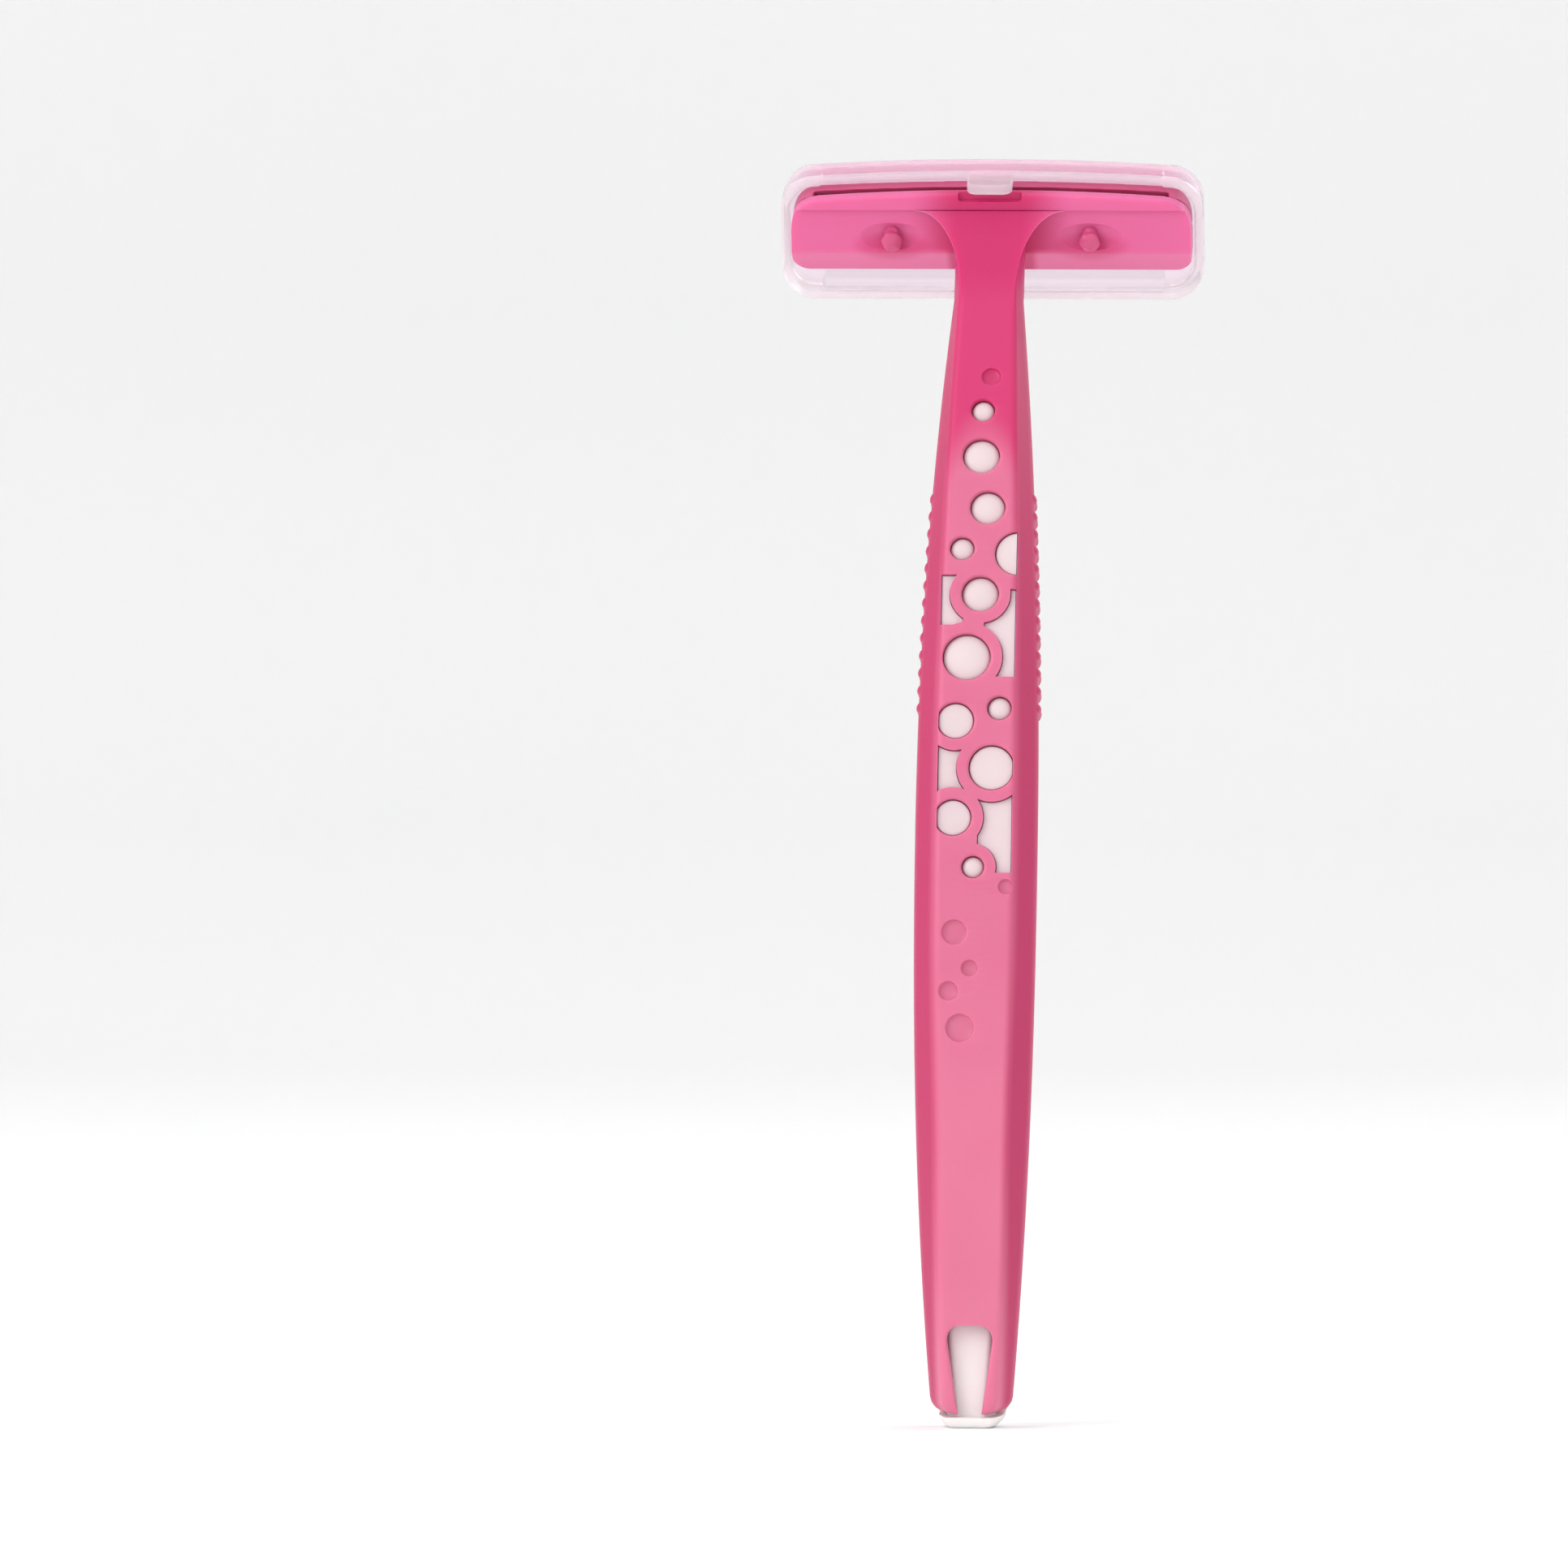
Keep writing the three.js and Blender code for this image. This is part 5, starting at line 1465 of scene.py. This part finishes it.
# %% [markdown]
# ## The clear cover
# The cover is a thin-walled tray. Glass-like plastic shows every fault in a mesh, so its skin
# is one clean loft: down the outside, across the face, and back up the inside, with real
# rounding at each turn. The rim, the thicker corner lips and the snap tongue are slightly
# frosted, because that is where the mould halves meet.

# %% Cover
COVER_WALL = 0.95 * MM
COVER_CLEARANCE = 0.25 * MM
COVER_TOP_CLEARANCE = 0.45 * MM
COVER_BELOW = 3.15 * MM
COVER_RIM_OUT = 2.8 * MM
COVER_FRONT_OUT = 7.5 * MM
COVER_CORNER = 3.6 * MM
LIP_FROM = 17.7 * MM
LIP_BELOW = 0.8 * MM
LIP_ABOVE = 0.25 * MM
TONGUE_HALF = 2.35 * MM
TONGUE_BACK = -0.75 * MM
TONGUE_FRONT = 1.2 * MM
# The radius of the tongue's rounded tip and the step under it, in mm.
TONGUE_ROUND = 0.95
TONGUE_STEP = 0.12


def cover_ring(inset, lip=0):
    """The cover's outline, drawn in by an inset, and thicker beyond the lips if lip is 1."""
    half = HEAD_WIDTH / 2 + COVER_CLEARANCE + COVER_WALL - inset
    low = -COVER_BELOW + inset
    top = HEAD_HEIGHT - HEAD_ARCH + COVER_TOP_CLEARANCE + COVER_WALL - inset
    corner = max(1 * MM, COVER_CORNER - inset)
    start = HEAD_WIDTH / 2 + COVER_CLEARANCE + COVER_WALL - COVER_CORNER
    step = 0.12 * MM
    places = [0, 4, 8, 12, 15.5, 17, (LIP_FROM - step) / MM, LIP_FROM / MM, (LIP_FROM + step) / MM]
    places = [p * MM for p in places] + [start]
    across = [-p for p in reversed(places[1:])] + places

    def lip_at(x, size):
        share = min(1, max(0, (abs(x) - LIP_FROM + step) / (2 * step)))
        return lip * size * share
    points = [(x, low + lip_at(x, LIP_BELOW)) for x in across]
    low_side = low + lip * LIP_BELOW
    high_side = top - lip * LIP_ABOVE
    points += arc((half - corner, low_side + corner), corner, -90, 0, 10)[1:]
    points += arc((half - corner, high_side - corner), corner, 0, 90, 10)[:-1]
    for x in reversed(across):
        share = 0.5 - x / (2 * start)
        arch = 2 * HEAD_ARCH * 2 * share * (1 - share)
        points.append((x, top + arch - lip_at(x, LIP_ABOVE)))
    points += arc((-half + corner, high_side - corner), corner, 90, 180, 10)[1:]
    points += arc((-half + corner, low_side + corner), corner, 180, 270, 10)[:-1]
    return points


def cover_shell():
    quarter = np.radians(np.linspace(0, 90, 7))
    face_round = 1.3 * MM
    floor_round = 0.7 * MM
    floor = COVER_FRONT_OUT - COVER_WALL
    rim = COVER_WALL * 0.42
    rings = [(COVER_RIM_OUT + rim * (1 - math.sin(a)), cover_ring(rim * (1 - math.cos(a))))
             for a in quarter[::-1]]
    rings += [(COVER_FRONT_OUT - face_round * (1 - math.sin(a)), cover_ring(face_round * (1 - math.cos(a))))
              for a in quarter]
    inner = [(floor - floor_round * (1 - math.sin(a)),
              cover_ring(COVER_WALL + floor_round * (1 - math.cos(a)), 1)) for a in quarter[::-1]]
    inner += [(COVER_RIM_OUT + rim * (1 - math.sin(a)), cover_ring(COVER_WALL - rim * (1 - math.cos(a)), 1))
              for a in quarter]
    return rings, inner


def two_skins(name, outer, inner):
    """Outer and inner rings joined at the rim, each closed by a face at the front."""
    rings = [*inner, *outer]
    points = [head_point(x, out, up) for out, ring in rings for x, up in ring]
    around = len(rings[0][1])
    faces = [tuple(range(around))]
    for i in range(len(rings) - 1):
        for j in range(around):
            k = (j + 1) % around
            faces.append((i * around + j, i * around + k, (i + 1) * around + k, (i + 1) * around + j))
    last = (len(rings) - 1) * around
    faces.append(tuple(last + j for j in reversed(range(around))))
    return from_parts(name, points, faces)


cover = two_skins("clear_cover", *cover_shell())


def tongue():
    """The snap tongue: a flat strip from the cover's top, round at its free end."""
    top = HEAD_HEIGHT + COVER_TOP_CLEARANCE
    rings = []
    rounded = []
    for d in (0.02, 0.08, 0.2, 0.36, 0.56, TONGUE_ROUND):
        narrow = TONGUE_ROUND * (1 - math.sqrt(1 - (1 - d / TONGUE_ROUND) ** 2))
        rounded.append((TONGUE_BACK + d * MM, narrow, TONGUE_STEP))
    for out, narrow, low in (*rounded, (TONGUE_FRONT, 0, 0), (COVER_RIM_OUT + 0.5 * MM, 0, 0)):
        reach = TONGUE_HALF - narrow * MM
        bed = top - low * MM
        roof = top + COVER_WALL
        ring = eased([(-reach, bed, 0.18 * MM), (reach, bed, 0.18 * MM), (reach, roof, 0.3 * MM),
                      (-reach, roof, 0.3 * MM)], 3)
        rings.append((out, ring))
    return out_of_head("tongue", rings)


combine(cover, "UNION", tongue())
finish_moulding(cover, cover_clear, 40)
cover.data.materials.append(cover_frosted)
head_out = Vector((0, -math.cos(HEAD_TILT), math.sin(HEAD_TILT)))
head_zero = Vector((0, HEAD_Y, HEAD_Z))
frosted = 0
for face in cover.data.polygons:
    out = (face.center - head_zero).dot(head_out)
    if out < COVER_RIM_OUT + 0.42 * COVER_WALL:
        face.material_index = 1
        frosted += 1
settle(cover, "cover", "clear_cover", "cover")
print("cover:", len(cover.data.polygons), "faces,", frosted, "frosted")

# %% [markdown]
# ## Stage
# A wide white bowl serves as floor and backdrop from every side, so no edge shows behind the
# razor. A flat sheet would end in view, and a box would show its corners.

# %% Stage
BOWL_FLAT = 1.6
BOWL_TOP = 2.6
profile = [(0.0, 0.0), (0.4, 0.0), (0.9, 0.0), (BOWL_FLAT, 0.0), (2.0, 0.05), (2.35, 0.2), (2.6, 0.5),
           (2.75, 0.9), (2.8, 1.5), (2.8, BOWL_TOP)]
turns = np.radians(np.arange(0, 360, 7.5))
stage_points = [(r * math.cos(a), r * math.sin(a), z) for r, z in profile[1:] for a in turns]
stage_faces = [tuple(range(len(turns)))]
for i in range(len(profile) - 2):
    for j in range(len(turns)):
        k = (j + 1) % len(turns)
        n = len(turns)
        stage_faces.append((i * n + k, i * n + j, (i + 1) * n + j, (i + 1) * n + k))
stage_mesh = bpy.data.meshes.new("floor")
stage_mesh.from_pydata(stage_points, [], stage_faces)
floor = add_object("floor", stage_mesh)
for face in floor.data.polygons:
    face.use_smooth = True
floor_white, tree, shader, place = new_finish("floor_white", Roughness=0.9)
clouds = use_group(tree, moulded_grain, place, Grain_Scale=400.0, Cloud_Scale=3.0)
tree.links.new(mix(tree, clouds["Clouds"], linear(252, 252, 252), linear(250, 250, 250)),
               shader.inputs["Base Color"])
stage_mesh.materials.append(floor_white)


# %% [markdown]
# ## Light
# A bright even sky gives the soft look of a light tent. Left and right are meant as the razor's
# back is seen: one large panel lights the left flank, a weak one leaves the right flank darker,
# and two more open up the front and the top.

# %% Light
def soft_panel(name, place, size, power, aim_at=(0, 0, 0.07)):
    data = bpy.data.lights.new(name, "AREA")
    data.shape = "RECTANGLE"
    data.size, data.size_y = size
    data.energy = power
    panel_light = bpy.data.objects.new(name, data)
    panel_light.location = place
    facing = Vector(aim_at) - Vector(place)
    panel_light.rotation_mode = "QUATERNION"
    panel_light.rotation_quaternion = facing.to_track_quat("-Z", "Y")
    bpy.context.scene.collection.objects.link(panel_light)


world = bpy.data.worlds.new("sky")
world.use_nodes = True
sky = world.node_tree.nodes["Background"]
sky.inputs["Color"].default_value = (1, 1, 1, 1)
sky.inputs["Strength"].default_value = 0.9
bpy.context.scene.world = world
soft_panel("back_left", (0.9, 0.9, 0.7), (0.8, 0.8), 8)
soft_panel("back_right", (-1.0, 0.7, 0.5), (0.5, 0.8), 0.5)
soft_panel("front_left", (-0.9, -0.9, 0.8), (0.8, 0.8), 2.5)
soft_panel("top", (0, 0, 1.4), (0.9, 0.9), 2.4)
